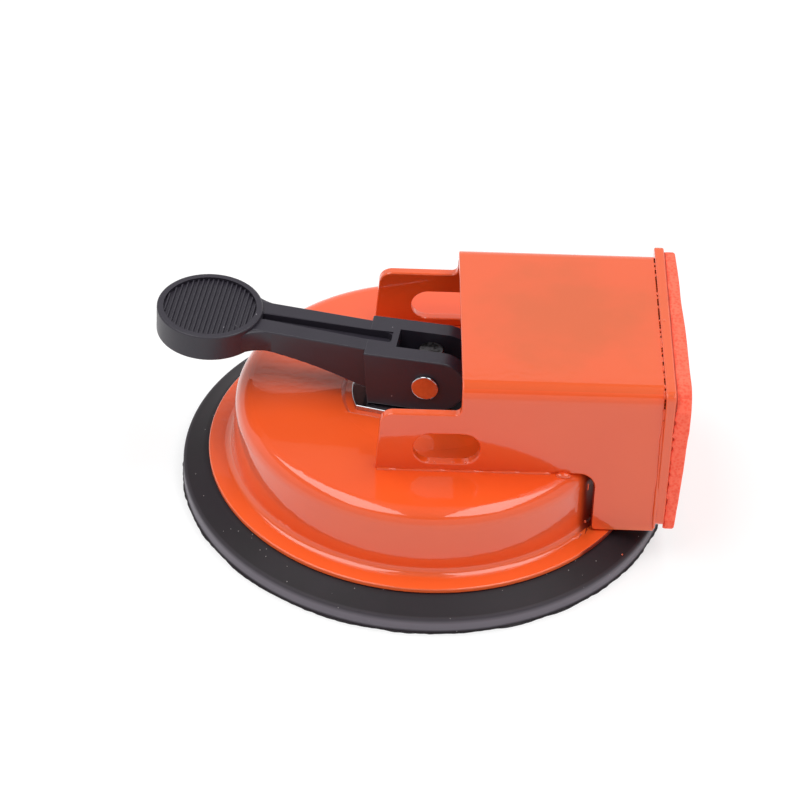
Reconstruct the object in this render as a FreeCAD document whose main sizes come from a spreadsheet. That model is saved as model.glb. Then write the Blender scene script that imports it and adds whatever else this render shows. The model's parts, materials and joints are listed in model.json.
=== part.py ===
"""Suction cup lifter: a rubber cup under a pressed steel dome, drawn up by a cam lever,
with a slotted sheet channel and a padded end plate on top.

Millimetres, +Z up. The origin is on the cup's axis, on the surface that the cup stands on.
+X points from the thumb paddle towards the padded end plate.
"""
import FreeCAD
import Part
import Sketcher
import math
import os
import re

# Driving dimensions: name, value, what it is
SIZE_ROWS = [
    ("cup_radius", 75.0, "outer radius of the rubber cup"),
    ("lip_height", 5.5, "height of the cup's outer edge"),
    ("lip_chamfer", 0.8, "bevel along the top of the cup's edge"),
    ("lip_width", 13.0, "width of the flat sealing ring"),
    ("hollow_run", 12.0, "width of the slope inside the sealing ring"),
    ("hollow_depth", 2.0, "depth of the hollow under the cup"),
    ("cup_seat", 9.0, "height of the rubber under the flange"),
    ("core_radius", 34.0, "radius of the thick middle of the cup"),
    ("core_rise", 3.0, "height of the thick middle above the flange seat"),
    ("core_run", 10.0, "width of the slope up to the thick middle"),
    ("flange_radius", 66.7, "outer radius of the dome's flange"),
    ("flank_radius", 59.4, "outer radius of the dome at the foot of its flank"),
    ("flank_taper", 0.5, "how much the flank leans in"),
    ("dome_sheet", 1.6, "thickness of the dome's sheet"),
    ("dome_height", 22.9, "top of the dome above the flange's underside"),
    ("rim_round", 5.0, "outer rounding of the dome's upper rim"),
    ("root_round", 2.5, "rounding between flange and flank"),
    ("recess_radius", 25.5, "radius of the seat for the wear plate"),
    ("recess_run", 1.2, "width of the sloping edge of that seat"),
    ("recess_depth", 1.0, "depth of that seat"),
    ("rod_hole_gap", 0.4, "clearance of the rod in the dome"),
    ("plate_radius", 23.5, "radius of the wear plate"),
    ("plate_half_width", 13.2, "half the distance across its flats"),
    ("plate_thick", 1.6, "thickness of the wear plate"),
    ("plate_yaw", 15.0, "turn of the wear plate, degrees"),
    ("running_gap", 0.05, "radial clearance of a running fit"),
    ("axial_gap", 0.1, "end play of pieces that turn on each other"),
    ("insert_radius", 30.0, "radius of the steel insert on the rubber"),
    ("insert_thick", 3.0, "thickness of that insert"),
    ("rod_radius", 4.0, "radius of the draw rod"),
    ("rod_above_pin", 6.8, "rod above the pivot"),
    ("rod_chamfer", 0.5, "bevel on the rod's top"),
    ("stud_radius", 3.0, "radius of the rod's lower end"),
    ("stud_tail", 0.8, "stud below the nut"),
    ("nut_flats", 10.0, "nut across its flats"),
    ("nut_height", 5.0, "height of the nut"),
    ("nut_clearance", 0.6, "room around the nut in the rubber"),
    ("seat_radius", 12.0, "radius of the spring's seat"),
    ("seat_thick", 1.2, "thickness of the spring's seat"),
    ("seat_gap", 0.5, "clearance of the seat on the rod"),
    ("spring_radius", 8.5, "mean radius of the return spring"),
    ("spring_wire", 0.9, "radius of the spring's wire"),
    ("spring_turns", 4.0, "turns of the spring"),
    ("spring_gap", 0.2, "spring's clearance at each end"),
    ("cam_depth", 9.3, "pivot above the cam's flat"),
    ("cam_gap", 0.3, "cam's clearance above the wear plate"),
    ("cam_rise", 1.8, "how far the cam's arc is set off the pivot"),
    ("cam_lift", 1.26, "how far the cam's arc is set above the pivot, for an even lift"),
    ("lever_yaw", 9.5, "turn of the lever at rest, degrees"),
    ("fork_top", 9.4, "top of the fork above the pivot"),
    ("fork_width", 19.7, "width of the fork"),
    ("fork_back", 19.4, "fork's back face from the pivot"),
    ("fork_lean", 1.8, "how far that face is set in at the bottom"),
    ("fork_slot", 8.8, "width of the fork's slot"),
    ("slot_back", 10.2, "end of the fork's slot from the pivot"),
    ("neck_width", 14.7, "width of the lever's neck"),
    ("neck_root_depth", 14.8, "depth of the neck at the fork"),
    ("neck_tip_depth", 6.7, "depth of the neck at the paddle"),
    ("neck_tip_rise", 2.0, "top of the neck at the paddle above the fork's top"),
    ("neck_sweep", 130.0, "radius of the neck's underside"),
    ("groove_root_width", 5.2, "width of the neck's groove at the fork"),
    ("groove_tip_width", 3.4, "width of that groove at the paddle"),
    ("groove_depth", 3.0, "depth of that groove"),
    ("groove_bar", 1.9, "bar between the groove and the fork's slot"),
    ("paddle_reach", 68.3, "paddle's centre from the pivot"),
    ("paddle_radius", 16.15, "radius of the thumb paddle"),
    ("paddle_rise", 3.0, "top of the paddle above the fork's top"),
    ("paddle_thick", 8.7, "thickness of the paddle"),
    ("paddle_rim", 2.0, "width of the paddle's raised rim"),
    ("paddle_recess", 1.2, "depth of the paddle's recess"),
    ("lever_round", 0.5, "rounding of the lever's edges"),
    ("neck_drop", 0.5, "neck's top below the fork's top where it starts"),
    ("head_round", 0.35, "rounding of the pin's head"),
    ("sheet_round", 0.5, "rounding of the cut edges of the channel and end plate"),
    ("dome_edge", 0.4, "rounding of the dome's edges"),
    ("plate_edge", 0.3, "rounding of the wear plate's edges"),
    ("pin_radius", 2.5, "radius of the pivot pin"),
    ("head_radius", 4.2, "radius of the pin's head"),
    ("head_thick", 1.0, "thickness of the pin's head"),
    ("clip_radius", 4.2, "outer radius of the pin's clip"),
    ("clip_thick", 1.0, "thickness of the pin's clip"),
    ("pin_tail", 0.6, "pin beyond its clip"),
    ("bracket_half", 36.0, "half the channel's outer width at its bends"),
    ("wall_splay", 1.8, "how far each wall leans out at its lower edge"),
    ("bracket_sheet", 3.0, "thickness of the channel's sheet"),
    ("bend_round", 5.0, "outer radius of the channel's bends"),
    ("bracket_height", 30.1, "channel's top above the dome"),
    ("ear_reach", 16.5, "ears' end from the cup's axis"),
    ("ear_lean", 0.8, "how far the ears' end leans in at the top"),
    ("ear_height", 20.4, "ears' top above the dome"),
    ("ear_round", 4.0, "rounding of the ears' top corner"),
    ("step_round", 1.8, "rounding between ear and channel"),
    ("top_start", 8.3, "start of the channel's top from the cup's axis"),
    ("bracket_end", 68.4, "end of the channel from the cup's axis"),
    ("foot_round", 5.0, "rounding where the walls pass the dome's rim"),
    ("tongue_gap", 0.5, "clearance of the walls to the dome's flank and flange"),
    ("tongue_round", 1.5, "rounding of the walls' lower corner"),
    ("ear_slot_length", 20.0, "length of the slots in the ears"),
    ("ear_slot_width", 10.6, "width of the slots in the ears"),
    ("ear_slot_place", 4.6, "slots' middle from the cup's axis"),
    ("ear_slot_rise", 8.0, "slots' middle above the dome"),
    ("end_sheet", 3.0, "thickness of the end plate"),
    ("end_overhang", 1.8, "end plate beyond the channel's sides"),
    ("end_rise", 1.0, "end plate above the channel's top"),
    ("end_lift", 1.6, "end plate's lower edge above the walls' lower edge"),
    ("end_round", 2.5, "corner rounding of the end plate"),
    ("tape_thick", 0.5, "thickness of the pad's adhesive tape"),
    ("foam_thick", 4.5, "thickness of the foam pad"),
    ("foam_inset", 1.0, "pad's edge inside the end plate's edge"),
    ("weld_leg", 2.5, "leg of the weld beads"),
    ("weld_length", 24.0, "length of the weld beads"),
    ("weld_start", 16.0, "start of the channel's beads from the cup's axis"),
    ("end_weld_start", 5.0, "start of the end plate's beads from the middle"),
]
SIZES = {name: size for name, size, _ in SIZE_ROWS}

# Levels and places that follow from the driving dimensions
SEAT_TOP = "(cup_seat + core_rise)"
FLANGE_TOP = "(cup_seat + dome_sheet)"
DOME_TOP = "(cup_seat + dome_height)"
RECESS_FLOOR = f"({DOME_TOP} - recess_depth)"
DOME_UNDER = f"({RECESS_FLOOR} - dome_sheet)"
WEAR_TOP = f"({RECESS_FLOOR} + plate_thick)"
PIVOT = f"({WEAR_TOP} + cam_gap + cam_depth)"
INSERT_TOP = f"({SEAT_TOP} + insert_thick)"
SPRING_FOOT = f"({INSERT_TOP} + seat_thick)"
NUT_FOOT = f"({SEAT_TOP} - axial_gap - nut_height)"
CAM_RADIUS = "(cam_depth + cam_lift)"
NOSE = f"(cam_rise + {CAM_RADIUS})"
TOP_Z = f"({DOME_TOP} + bracket_height)"
EAR_Z = f"({DOME_TOP} + ear_height)"
WALL_IN = "(bracket_half - bracket_sheet)"
BEND_Z = f"({TOP_Z} - bend_round)"
TONGUE_Z = f"({FLANGE_TOP} + tongue_gap)"
SPLAY = f"(wall_splay / ({BEND_Z} - {TONGUE_Z}))"
WALL_FOOT = f"({WALL_IN} + {SPLAY} * ({BEND_Z} - {DOME_TOP}))"
TONGUE_X = f"sqrt((flank_radius + tongue_gap) ^ 2 - {WALL_FOOT} ^ 2)"
END_X = "(bracket_end + end_sheet)"
END_HALF = "(bracket_half + end_overhang)"
END_LOW = f"({TONGUE_Z} + end_lift)"
END_HIGH = f"({TOP_Z} + end_rise)"
# The dome's roundings, which a narrow flange makes smaller
FLANGE_WIDTH = "(flange_radius - flank_radius)"
ROOT_ROUND = f"min(root_round; {FLANGE_WIDTH} / 2)"
DOME_EDGE = f"min(dome_edge; {FLANGE_WIDTH} / 4)"
# Depth of cuts that run clear of every piece
CLEAR = "(2 * cup_radius)"
# Turns of the spring's path in one stretch, so that each swept face stays simple
PATH_STRETCH = 0.25

doc = FreeCAD.newDocument("suction_cup_lifter")
sheet = doc.addObject("Spreadsheet::Sheet", "Sizes")
for row, (name, size, note) in enumerate(SIZE_ROWS, start=1):
    sheet.set(f"A{row}", note)
    sheet.set(f"B{row}", str(size))
    sheet.setAlias(f"B{row}", name)
doc.recompute()

sub_parts = []


def bound(text):
    """Return an expression in which every size is a cell of the sheet."""
    return re.sub(r"[a-z_]\w*", lambda word: f"Sizes.{word[0]}" if word[0] in SIZES else word[0], text)


def value(text):
    """Return what an expression comes to."""
    return float(sheet.evalExpression(bound(text)))


def bind(item, **expressions):
    """Bind properties of an object to expressions in the sheet's sizes."""
    for path, text in expressions.items():
        item.setExpression(path.replace("__", "."), bound(text))


def sub_part(item, label):
    """Name a finished sub-part and list it for writing."""
    item.Label = label
    sub_parts.append(item)
    return item


def new_body(label):
    """Start a sub-part that is made as one body."""
    return sub_part(doc.addObject("PartDesign::Body", label), label)


def new_sketch(body, name, plane, offset="0"):
    """Start a sketch on one of its body's planes, set off along the plane's normal."""
    sketch = body.newObject("Sketcher::SketchObject", name)
    origin = [item for item in body.Origin.OriginFeatures if item.Role == plane][0]
    sketch.AttachmentSupport = (origin, "")
    sketch.MapMode = "FlatFace"
    sketch.setExpression("AttachmentOffset.Base.z", bound(offset))
    return sketch


def pin_point(sketch, edge, end, x, y):
    """Hold one point of a sketch at a place given by two expressions."""
    for kind, text in (("DistanceX", x), ("DistanceY", y)):
        index = sketch.addConstraint(Sketcher.Constraint(kind, -1, 1, edge, end, value(text)))
        sketch.setExpression(f"Constraints[{index}]", bound(text))


def hold_radius(sketch, edge, text):
    """Hold the radius of an arc or circle at an expression."""
    index = sketch.addConstraint(Sketcher.Constraint("Radius", edge, value(text)))
    sketch.setExpression(f"Constraints[{index}]", bound(text))


def arc_between(start, end, radius, turn):
    """Return the shorter arc between two points, which turns left (1) or right (-1)."""
    chord = end - start
    reach = math.sqrt(max(radius ** 2 - (chord.Length / 2) ** 2, 0.0))
    side = FreeCAD.Vector(-chord.y, chord.x, 0).normalize()
    centre = (start + end) * 0.5 + side * reach * turn
    angles = [math.atan2(p.y - centre.y, p.x - centre.x) for p in (start, end)[::turn]]
    return Part.ArcOfCircle(Part.Circle(centre, FreeCAD.Vector(0, 0, 1), radius), *angles)


def outline(body, name, plane, corners, offset="0"):
    """Draw a closed outline from its corners, each (x, y) or, where an arc leaves it,
    (x, y, radius, turn).
    """
    sketch = new_sketch(body, name, plane, offset)
    spots = [FreeCAD.Vector(value(corner[0]), value(corner[1]), 0) for corner in corners]
    count = len(corners)
    ends = []
    for index, corner in enumerate(corners):
        start = spots[index]
        end = spots[(index + 1) % count]
        turn = corner[3] if len(corner) == 4 else 1
        if len(corner) == 4:
            sketch.addGeometry(arc_between(start, end, value(corner[2]), turn))
        else:
            sketch.addGeometry(Part.LineSegment(start, end))
        ends.append((1, 2)[::turn])
    for index, corner in enumerate(corners):
        after = (index + 1) % count
        sketch.addConstraint(Sketcher.Constraint("Coincident", index, ends[index][1], after, ends[after][0]))
        pin_point(sketch, index, ends[index][0], corner[0], corner[1])
        if len(corner) == 4:
            hold_radius(sketch, index, corner[2])
    return sketch


def ring(body, name, plane, radius, x="0", y="0", offset="0"):
    """Draw a circle."""
    sketch = new_sketch(body, name, plane, offset)
    centre = FreeCAD.Vector(value(x), value(y), 0)
    sketch.addGeometry(Part.Circle(centre, FreeCAD.Vector(0, 0, 1), value(radius)))
    pin_point(sketch, 0, 3, x, y)
    hold_radius(sketch, 0, radius)
    return sketch


def revolve(body, sketch):
    """Turn a sketch about its own upright axis."""
    feature = body.newObject("PartDesign::Revolution", f"{sketch.Name}_turned")
    feature.Profile = sketch
    feature.ReferenceAxis = (sketch, ["V_Axis"])
    feature.Angle = 360
    return feature


def pad(body, sketch, length, both_ways=False):
    """Thicken a sketch along its normal, or half each way."""
    feature = body.newObject("PartDesign::Pad", f"{sketch.Name}_pad")
    feature.Profile = sketch
    feature.Midplane = both_ways
    bind(feature, Length=length)
    return feature


def pocket(body, sketch, depth, both_ways=False):
    """Cut a sketch into its body against its normal, or half each way."""
    feature = body.newObject("PartDesign::Pocket", f"{sketch.Name}_cut")
    feature.Profile = sketch
    feature.Midplane = both_ways
    bind(feature, Length=depth)
    return feature


def round_edges(body, radius):
    """Round every edge that a body has so far."""
    tip = body.Tip
    feature = body.newObject("PartDesign::Fillet", f"{body.Name}_edges")
    feature.Base = (tip, [])
    feature.UseAllEdges = True
    bind(feature, Radius=radius)
    return feature


def rounded(half, low, high, radius):
    """Return the corners of an upright rectangle with round corners."""
    left = f"-({half})"
    return [
        (f"{left} + {radius}", low), (f"{half} - {radius}", low, radius, 1),
        (half, f"{low} + {radius}"), (half, f"{high} - {radius}", radius, 1),
        (f"{half} - {radius}", high), (f"{left} + {radius}", high, radius, 1),
        (left, f"{high} - {radius}"), (left, f"{low} + {radius}", radius, 1),
    ]


def turn_about_axis(item, angle, height="0"):
    """Turn a sub-part clockwise about the cup's axis, seen from above, and lift it."""
    item.Placement = FreeCAD.Placement(
        FreeCAD.Vector(0, 0, value(height)), FreeCAD.Rotation(FreeCAD.Vector(0, 0, -1), value(angle)))
    bind(item, Placement__Base__z=height, Placement__Rotation__Angle=angle)


def washer(label, inner, outer, low, high):
    """Make a flat ring about the cup's axis."""
    body = new_body(label)
    corners = [(inner, low), (outer, low), (outer, high), (inner, high)]
    revolve(body, outline(body, f"{label}_section", "XZ_Plane", corners))
    return body


def make_rubber_cup():
    """The cup: a flat sealing ring, a shallow hollow, a sloping top and a thick middle."""
    hollow_edge = "cup_radius - lip_width"
    nut_room = "(nut_flats / sqrt(3) + nut_clearance)"
    pocket_floor = f"{NUT_FOOT} - stud_tail - nut_clearance"
    body = new_body("rubber_cup")
    revolve(body, outline(body, "cup_section", "XZ_Plane", [
        ("0", "hollow_depth"), (f"{hollow_edge} - hollow_run", "hollow_depth"), (hollow_edge, "0"),
        ("cup_radius", "0"), ("cup_radius", "lip_height - lip_chamfer"),
        ("cup_radius - lip_chamfer", "lip_height"), ("flange_radius", "cup_seat"),
        ("core_radius + core_run", "cup_seat"), ("core_radius", SEAT_TOP),
        (nut_room, SEAT_TOP), (nut_room, pocket_floor), ("0", pocket_floor),
    ]))


def make_dome_shell():
    """The pressed dome: flange, flank, rounded rim, and a sunken seat around the rod."""
    hole = "rod_radius + rod_hole_gap"
    shoulder = "flank_radius - flank_taper"
    root_z = f"{FLANGE_TOP} + {ROOT_ROUND}"
    rim_z = f"{DOME_TOP} - rim_round"
    rim_r = f"{shoulder} - rim_round"
    ramp_r = "recess_radius + recess_run"
    body = new_body("dome_shell")
    revolve(body, outline(body, "dome_section", "XZ_Plane", [
        ("flange_radius", "cup_seat"), ("flange_radius", FLANGE_TOP),
        (f"flank_radius + {ROOT_ROUND}", FLANGE_TOP, ROOT_ROUND, -1),
        ("flank_radius", root_z), (shoulder, rim_z, "rim_round", 1),
        (rim_r, DOME_TOP), (ramp_r, DOME_TOP), ("recess_radius", RECESS_FLOOR),
        (hole, RECESS_FLOOR), (hole, DOME_UNDER),
        ("recess_radius + dome_sheet / 2", DOME_UNDER),
        (f"{ramp_r} + dome_sheet / 2", f"{DOME_TOP} - dome_sheet"),
        (rim_r, f"{DOME_TOP} - dome_sheet", "rim_round - dome_sheet", -1),
        (f"{shoulder} - dome_sheet", rim_z),
        ("flank_radius - dome_sheet", root_z, f"{ROOT_ROUND} + dome_sheet", 1),
        (f"flank_radius + {ROOT_ROUND}", "cup_seat"),
    ]))
    round_edges(body, DOME_EDGE)


def make_wear_plate():
    """The plated disc under the cam, with two flats, which also guides the rod."""
    flat_end = "sqrt(plate_radius ^ 2 - plate_half_width ^ 2)"
    body = new_body("wear_plate")
    pad(body, outline(body, "plate_outline", "XY_Plane", [
        (f"-{flat_end}", "-plate_half_width"), (flat_end, "-plate_half_width", "plate_radius", 1),
        (flat_end, "plate_half_width"), (f"-{flat_end}", "plate_half_width", "plate_radius", 1),
    ]), "plate_thick")
    pocket(body, ring(body, "plate_hole", "XY_Plane", "rod_radius + running_gap"), CLEAR, True)
    round_edges(body, "plate_edge")
    turn_about_axis(body, "plate_yaw", RECESS_FLOOR)


def make_draw_rod():
    """The rod: a shank through the dome, a cross hole for the pin and a thinner threaded end."""
    foot = f"{INSERT_TOP} + axial_gap"
    top = f"{PIVOT} + rod_above_pin"
    body = new_body("draw_rod")
    revolve(body, outline(body, "rod_section", "XZ_Plane", [
        ("0", f"{NUT_FOOT} - stud_tail"), ("stud_radius", f"{NUT_FOOT} - stud_tail"),
        ("stud_radius", foot), ("rod_radius", foot), ("rod_radius", f"{top} - rod_chamfer"),
        ("rod_radius - rod_chamfer", top), ("0", top),
    ]))
    hole = ring(body, "rod_cross_hole", "XZ_Plane", "pin_radius + running_gap", "0", PIVOT)
    pocket(body, hole, CLEAR, True)
    turn_about_axis(body, "lever_yaw")


def make_rod_nut():
    """The nut that holds the rod to the insert plate."""
    hexagon = doc.addObject("Part::Prism", "nut_hexagon")
    hexagon.Polygon = 6
    bind(hexagon, Circumradius="nut_flats / sqrt(3)", Height="nut_height", Placement__Base__z=NUT_FOOT)
    bore = doc.addObject("Part::Cylinder", "nut_bore")
    bind(bore, Radius="stud_radius + running_gap", Height="nut_height", Placement__Base__z=NUT_FOOT)
    nut = doc.addObject("Part::Cut", "rod_nut")
    nut.Base = hexagon
    nut.Tool = bore
    sub_part(nut, "rod_nut")


def make_return_spring():
    """The coil spring between its seat and the dome."""
    rise = f"({DOME_UNDER} - {SPRING_FOOT} - 2 * spring_wire - 2 * spring_gap)"
    start = f"{SPRING_FOOT} + spring_gap + spring_wire"
    helix = doc.addObject("Part::Helix", "spring_path")
    helix.SegmentLength = PATH_STRETCH
    bind(helix, Radius="spring_radius", Pitch=f"{rise} / spring_turns", Height=rise, Placement__Base__z=start)
    wire = doc.addObject("Part::Circle", "spring_wire_section")
    wire.Placement.Rotation = FreeCAD.Rotation(FreeCAD.Vector(1, 0, 0), 90)
    bind(wire, Radius="spring_wire", Placement__Base__x="spring_radius", Placement__Base__z=start)
    spring = doc.addObject("Part::Sweep", "return_spring")
    spring.Sections = [wire]
    spring.Spine = helix
    spring.Solid = True
    spring.Frenet = True
    sub_part(spring, "return_spring")


def make_cam_block():
    """The lever's forked block: the cam's flat and arc, the rod's slot and the pin's hole."""
    nose_flat = f"{NOSE} - (fork_top - cam_lift)"
    block = doc.addObject("PartDesign::Body", "lever_block")
    pad(block, outline(block, "cam_block", "XZ_Plane", [
        ("-fork_back + fork_lean", "-cam_depth"), ("cam_rise", "-cam_depth", CAM_RADIUS, 1),
        (NOSE, "cam_lift", "fork_top - cam_lift", 1),
        (nose_flat, "fork_top"), ("-fork_back", "fork_top"),
    ]), "fork_width", True)
    round_edges(block, "lever_round")
    pocket(block, outline(block, "rod_slot", "XY_Plane", [
        ("-slot_back", "-fork_slot / 2"), (f"{NOSE} + fork_slot", "-fork_slot / 2"),
        (f"{NOSE} + fork_slot", "fork_slot / 2"), ("-slot_back", "fork_slot / 2"),
    ]), CLEAR, True)
    pocket(block, ring(block, "pivot_hole", "XZ_Plane", "pin_radius + running_gap"), CLEAR, True)
    return block


def make_neck(groove_start):
    """The lever's neck, which thickens towards the block along a hollow curve."""
    neck_end = "(paddle_reach - paddle_radius / 2)"
    neck_top = "(fork_top + neck_tip_rise)"
    root = f"-({groove_start} - groove_bar / 2)"
    neck = doc.addObject("PartDesign::Body", "lever_neck")
    pad(neck, outline(neck, "neck_side", "XZ_Plane", [
        (root, "fork_top - neck_drop"), (f"-{neck_end}", neck_top),
        (f"-{neck_end}", f"{neck_top} - neck_tip_depth", "neck_sweep", -1),
        ("-fork_back", "fork_top - neck_root_depth"), (root, "fork_top - neck_root_depth"),
    ]), "neck_width", True)
    round_edges(neck, "lever_round")
    return neck


def make_paddle():
    """The lever's round thumb paddle, with a sunk face inside a rim."""
    paddle_top = "(fork_top + paddle_rise)"
    paddle = doc.addObject("PartDesign::Body", "lever_paddle")
    pad(paddle, ring(paddle, "paddle_outline", "XY_Plane", "paddle_radius", "-paddle_reach", "0",
                     f"{paddle_top} - paddle_thick"), "paddle_thick")
    round_edges(paddle, "lever_round")
    pocket(paddle, ring(paddle, "paddle_face", "XY_Plane", "paddle_radius - paddle_rim", "-paddle_reach",
                        "0", paddle_top), "paddle_recess")
    return paddle


def make_cam_lever():
    """The lever: block, neck and paddle in one moulding, with a groove along the neck."""
    groove_start = "(slot_back + groove_bar)"
    groove_end = "(paddle_reach - paddle_radius)"
    moulding = doc.addObject("Part::MultiFuse", "lever_moulding")
    moulding.Shapes = [make_cam_block(), make_neck(groove_start), make_paddle()]
    groove = doc.addObject("PartDesign::Body", "lever_groove")
    pad(groove, outline(groove, "neck_groove", "XY_Plane", [
        (f"-{groove_start}", "-groove_root_width / 2"), (f"-{groove_start}", "groove_root_width / 2"),
        (f"-{groove_end}", "groove_tip_width / 2"), (f"-{groove_end}", "-groove_tip_width / 2"),
    ], "fork_top - groove_depth"), "groove_depth + paddle_rise")
    lever = doc.addObject("Part::Cut", "cam_lever")
    lever.Base = moulding
    lever.Tool = groove
    turn_about_axis(sub_part(lever, "cam_lever"), "lever_yaw", PIVOT)


def make_pivot_pin():
    """The headed cross pin, and the clip on its far end."""
    near = "-(fork_width / 2 + axial_gap)"
    clip_low = "(fork_width / 2 + axial_gap)"
    clip_high = f"({clip_low} + clip_thick)"
    pin = new_body("pivot_pin")
    revolve(pin, outline(pin, "pin_section", "XY_Plane", [
        ("0", f"{near} - head_thick"),
        ("head_radius - head_round", f"{near} - head_thick", "head_round", 1),
        ("head_radius", f"{near} - head_thick + head_round"), ("head_radius", near),
        ("pin_radius", near), ("pin_radius", f"{clip_high} + pin_tail"), ("0", f"{clip_high} + pin_tail"),
    ]))
    turn_about_axis(pin, "lever_yaw", PIVOT)
    clip = new_body("pin_clip")
    clip_in = "pin_radius + running_gap"
    revolve(clip, outline(clip, "clip_section", "XY_Plane", [
        (clip_in, clip_low), ("clip_radius", clip_low), ("clip_radius", clip_high), (clip_in, clip_high),
    ]))
    turn_about_axis(clip, "lever_yaw", PIVOT)


def make_channel_bracket():
    """The channel: bent sheet, with slotted ears, a foot on the dome and tongues beside it."""
    crown = "bracket_half - bend_round"
    bend_in = "bend_round - bracket_sheet"
    ceiling = f"{TOP_Z} - bracket_sheet"
    low_in = f"({WALL_IN} + wall_splay)"
    low_out = "(bracket_half + wall_splay)"
    body = new_body("channel_bracket")
    pad(body, outline(body, "channel_section", "YZ_Plane", [
        (f"-{low_in}", TONGUE_Z), (f"-{WALL_IN}", BEND_Z, bend_in, -1),
        (f"-({crown})", ceiling), (crown, ceiling, bend_in, -1),
        (WALL_IN, BEND_Z), (low_in, TONGUE_Z), (low_out, TONGUE_Z),
        ("bracket_half", BEND_Z, "bend_round", 1),
        (crown, TOP_Z), (f"-({crown})", TOP_Z, "bend_round", 1),
        ("-bracket_half", BEND_Z), (f"-{low_out}", TONGUE_Z),
    ], "-ear_reach"), "bracket_end + ear_reach")
    far = "-ear_reach - bend_round"
    above = f"{TOP_Z} + bend_round"
    lean_x = "-ear_reach + ear_lean"
    pocket(body, outline(body, "above_ears", "XZ_Plane", [
        (far, DOME_TOP), ("-ear_reach", DOME_TOP), (lean_x, f"{EAR_Z} - ear_round", "ear_round", -1),
        (f"{lean_x} + ear_round", EAR_Z), ("top_start - step_round", EAR_Z, "step_round", 1),
        ("top_start", f"{EAR_Z} + step_round"), ("top_start", above), (far, above),
    ]), CLEAR, True)
    below = f"{TONGUE_Z} - bend_round"
    pocket(body, outline(body, "below_foot", "XZ_Plane", [
        (far, below), (f"{TONGUE_X} + tongue_round", below),
        (f"{TONGUE_X} + tongue_round", TONGUE_Z, "tongue_round", -1),
        (TONGUE_X, f"{TONGUE_Z} + tongue_round"), (TONGUE_X, f"{DOME_TOP} - foot_round", "foot_round", 1),
        (f"{TONGUE_X} - foot_round", DOME_TOP), (far, DOME_TOP),
    ]), CLEAR, True)
    slot_r = "(ear_slot_width / 2)"
    slot_z = f"({DOME_TOP} + ear_slot_rise)"
    run = f"(ear_slot_length / 2 - {slot_r})"
    pocket(body, outline(body, "ear_slot", "XZ_Plane", [
        (f"ear_slot_place - {run}", f"{slot_z} - {slot_r}"),
        (f"ear_slot_place + {run}", f"{slot_z} - {slot_r}", slot_r, 1),
        (f"ear_slot_place + {run}", f"{slot_z} + {slot_r}"),
        (f"ear_slot_place - {run}", f"{slot_z} + {slot_r}", slot_r, 1),
    ]), CLEAR, True)
    round_edges(body, "sheet_round")


def make_end_plate():
    """The end plate, and the foam pad on its adhesive tape."""
    plate = new_body("end_plate")
    pad(plate, outline(plate, "end_outline", "YZ_Plane", rounded(END_HALF, END_LOW, END_HIGH, "end_round"),
                       "bracket_end"), "end_sheet")
    round_edges(plate, "sheet_round")
    layers = (("foam_tape", END_X, "tape_thick"), ("foam_pad", f"{END_X} + tape_thick", "foam_thick"))
    for label, start, thick in layers:
        layer = new_body(label)
        corners = rounded(f"({END_HALF} - foam_inset)", f"({END_LOW} + foam_inset)",
                          f"({END_HIGH} - foam_inset)", "end_round")
        pad(layer, outline(layer, f"{label}_outline", "YZ_Plane", corners, start), thick)


def make_weld_group(label, plane, corners, start):
    """Make one three-cornered bead and its mirror image across the channel."""
    bead = doc.addObject("PartDesign::Body", f"{label}_near")
    pad(bead, outline(bead, f"{label}_section", plane, corners, start), "weld_length")
    twin = doc.addObject("Part::Mirroring", f"{label}_far")
    twin.Source = bead
    twin.Normal = FreeCAD.Vector(0, 1, 0)
    group = doc.addObject("Part::Compound", label)
    group.Links = [bead, twin]
    sub_part(group, label)


def make_welds():
    """The beads along the channel's feet, and those between its top and the end plate."""
    bead_top = f"({WALL_FOOT} - {SPLAY} * weld_leg)"
    make_weld_group("bracket_welds", "YZ_Plane", [
        (f"-{WALL_FOOT}", DOME_TOP), (f"-{WALL_FOOT} + weld_leg", DOME_TOP),
        (f"-{bead_top}", f"{DOME_TOP} + weld_leg"),
    ], "weld_start")
    ceiling = f"({TOP_Z} - bracket_sheet)"
    make_weld_group("end_plate_welds", "XZ_Plane", [
        ("bracket_end", f"{ceiling} - weld_leg"), ("bracket_end", ceiling),
        ("bracket_end - weld_leg", ceiling),
    ], "end_weld_start")


def check_model():
    """Stop if any object failed or any sub-part isn't sound."""
    for item in doc.Objects:
        if "Invalid" in item.State or "Error" in item.State:
            raise RuntimeError(f"{item.Label} failed: {item.State}")
    for item in sub_parts:
        if item.Shape.isNull() or not item.Shape.isValid():
            raise RuntimeError(f"{item.Label} has no sound shape")


make_rubber_cup()
make_dome_shell()
make_wear_plate()
washer("insert_plate", "stud_radius + running_gap", "insert_radius", SEAT_TOP, INSERT_TOP)
washer("spring_seat", "rod_radius + seat_gap", "seat_radius", INSERT_TOP, SPRING_FOOT)
make_draw_rod()
make_rod_nut()
make_return_spring()
make_cam_lever()
make_pivot_pin()
make_channel_bracket()
make_end_plate()
make_welds()
doc.recompute()
check_model()

os.makedirs("parts", exist_ok=True)
for part in sub_parts:
    part.Shape.exportStep(f"parts/{part.Label}.step")
    box = part.Shape.BoundBox
    print(f"{part.Label:16s} solids {len(part.Shape.Solids)} volume {part.Shape.Volume:9.1f} mm3",
          f"x {box.XMin:.1f}..{box.XMax:.1f} y {box.YMin:.1f}..{box.YMax:.1f}",
          f"z {box.ZMin:.1f}..{box.ZMax:.1f}")
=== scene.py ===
"""Dress the suction cup lifter: finishes, foam pad, rubber lip, thumb ribs, seams and studio."""
from __future__ import annotations

import json
import logging
import math
from dataclasses import dataclass
from enum import Enum
from typing import Sequence

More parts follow.
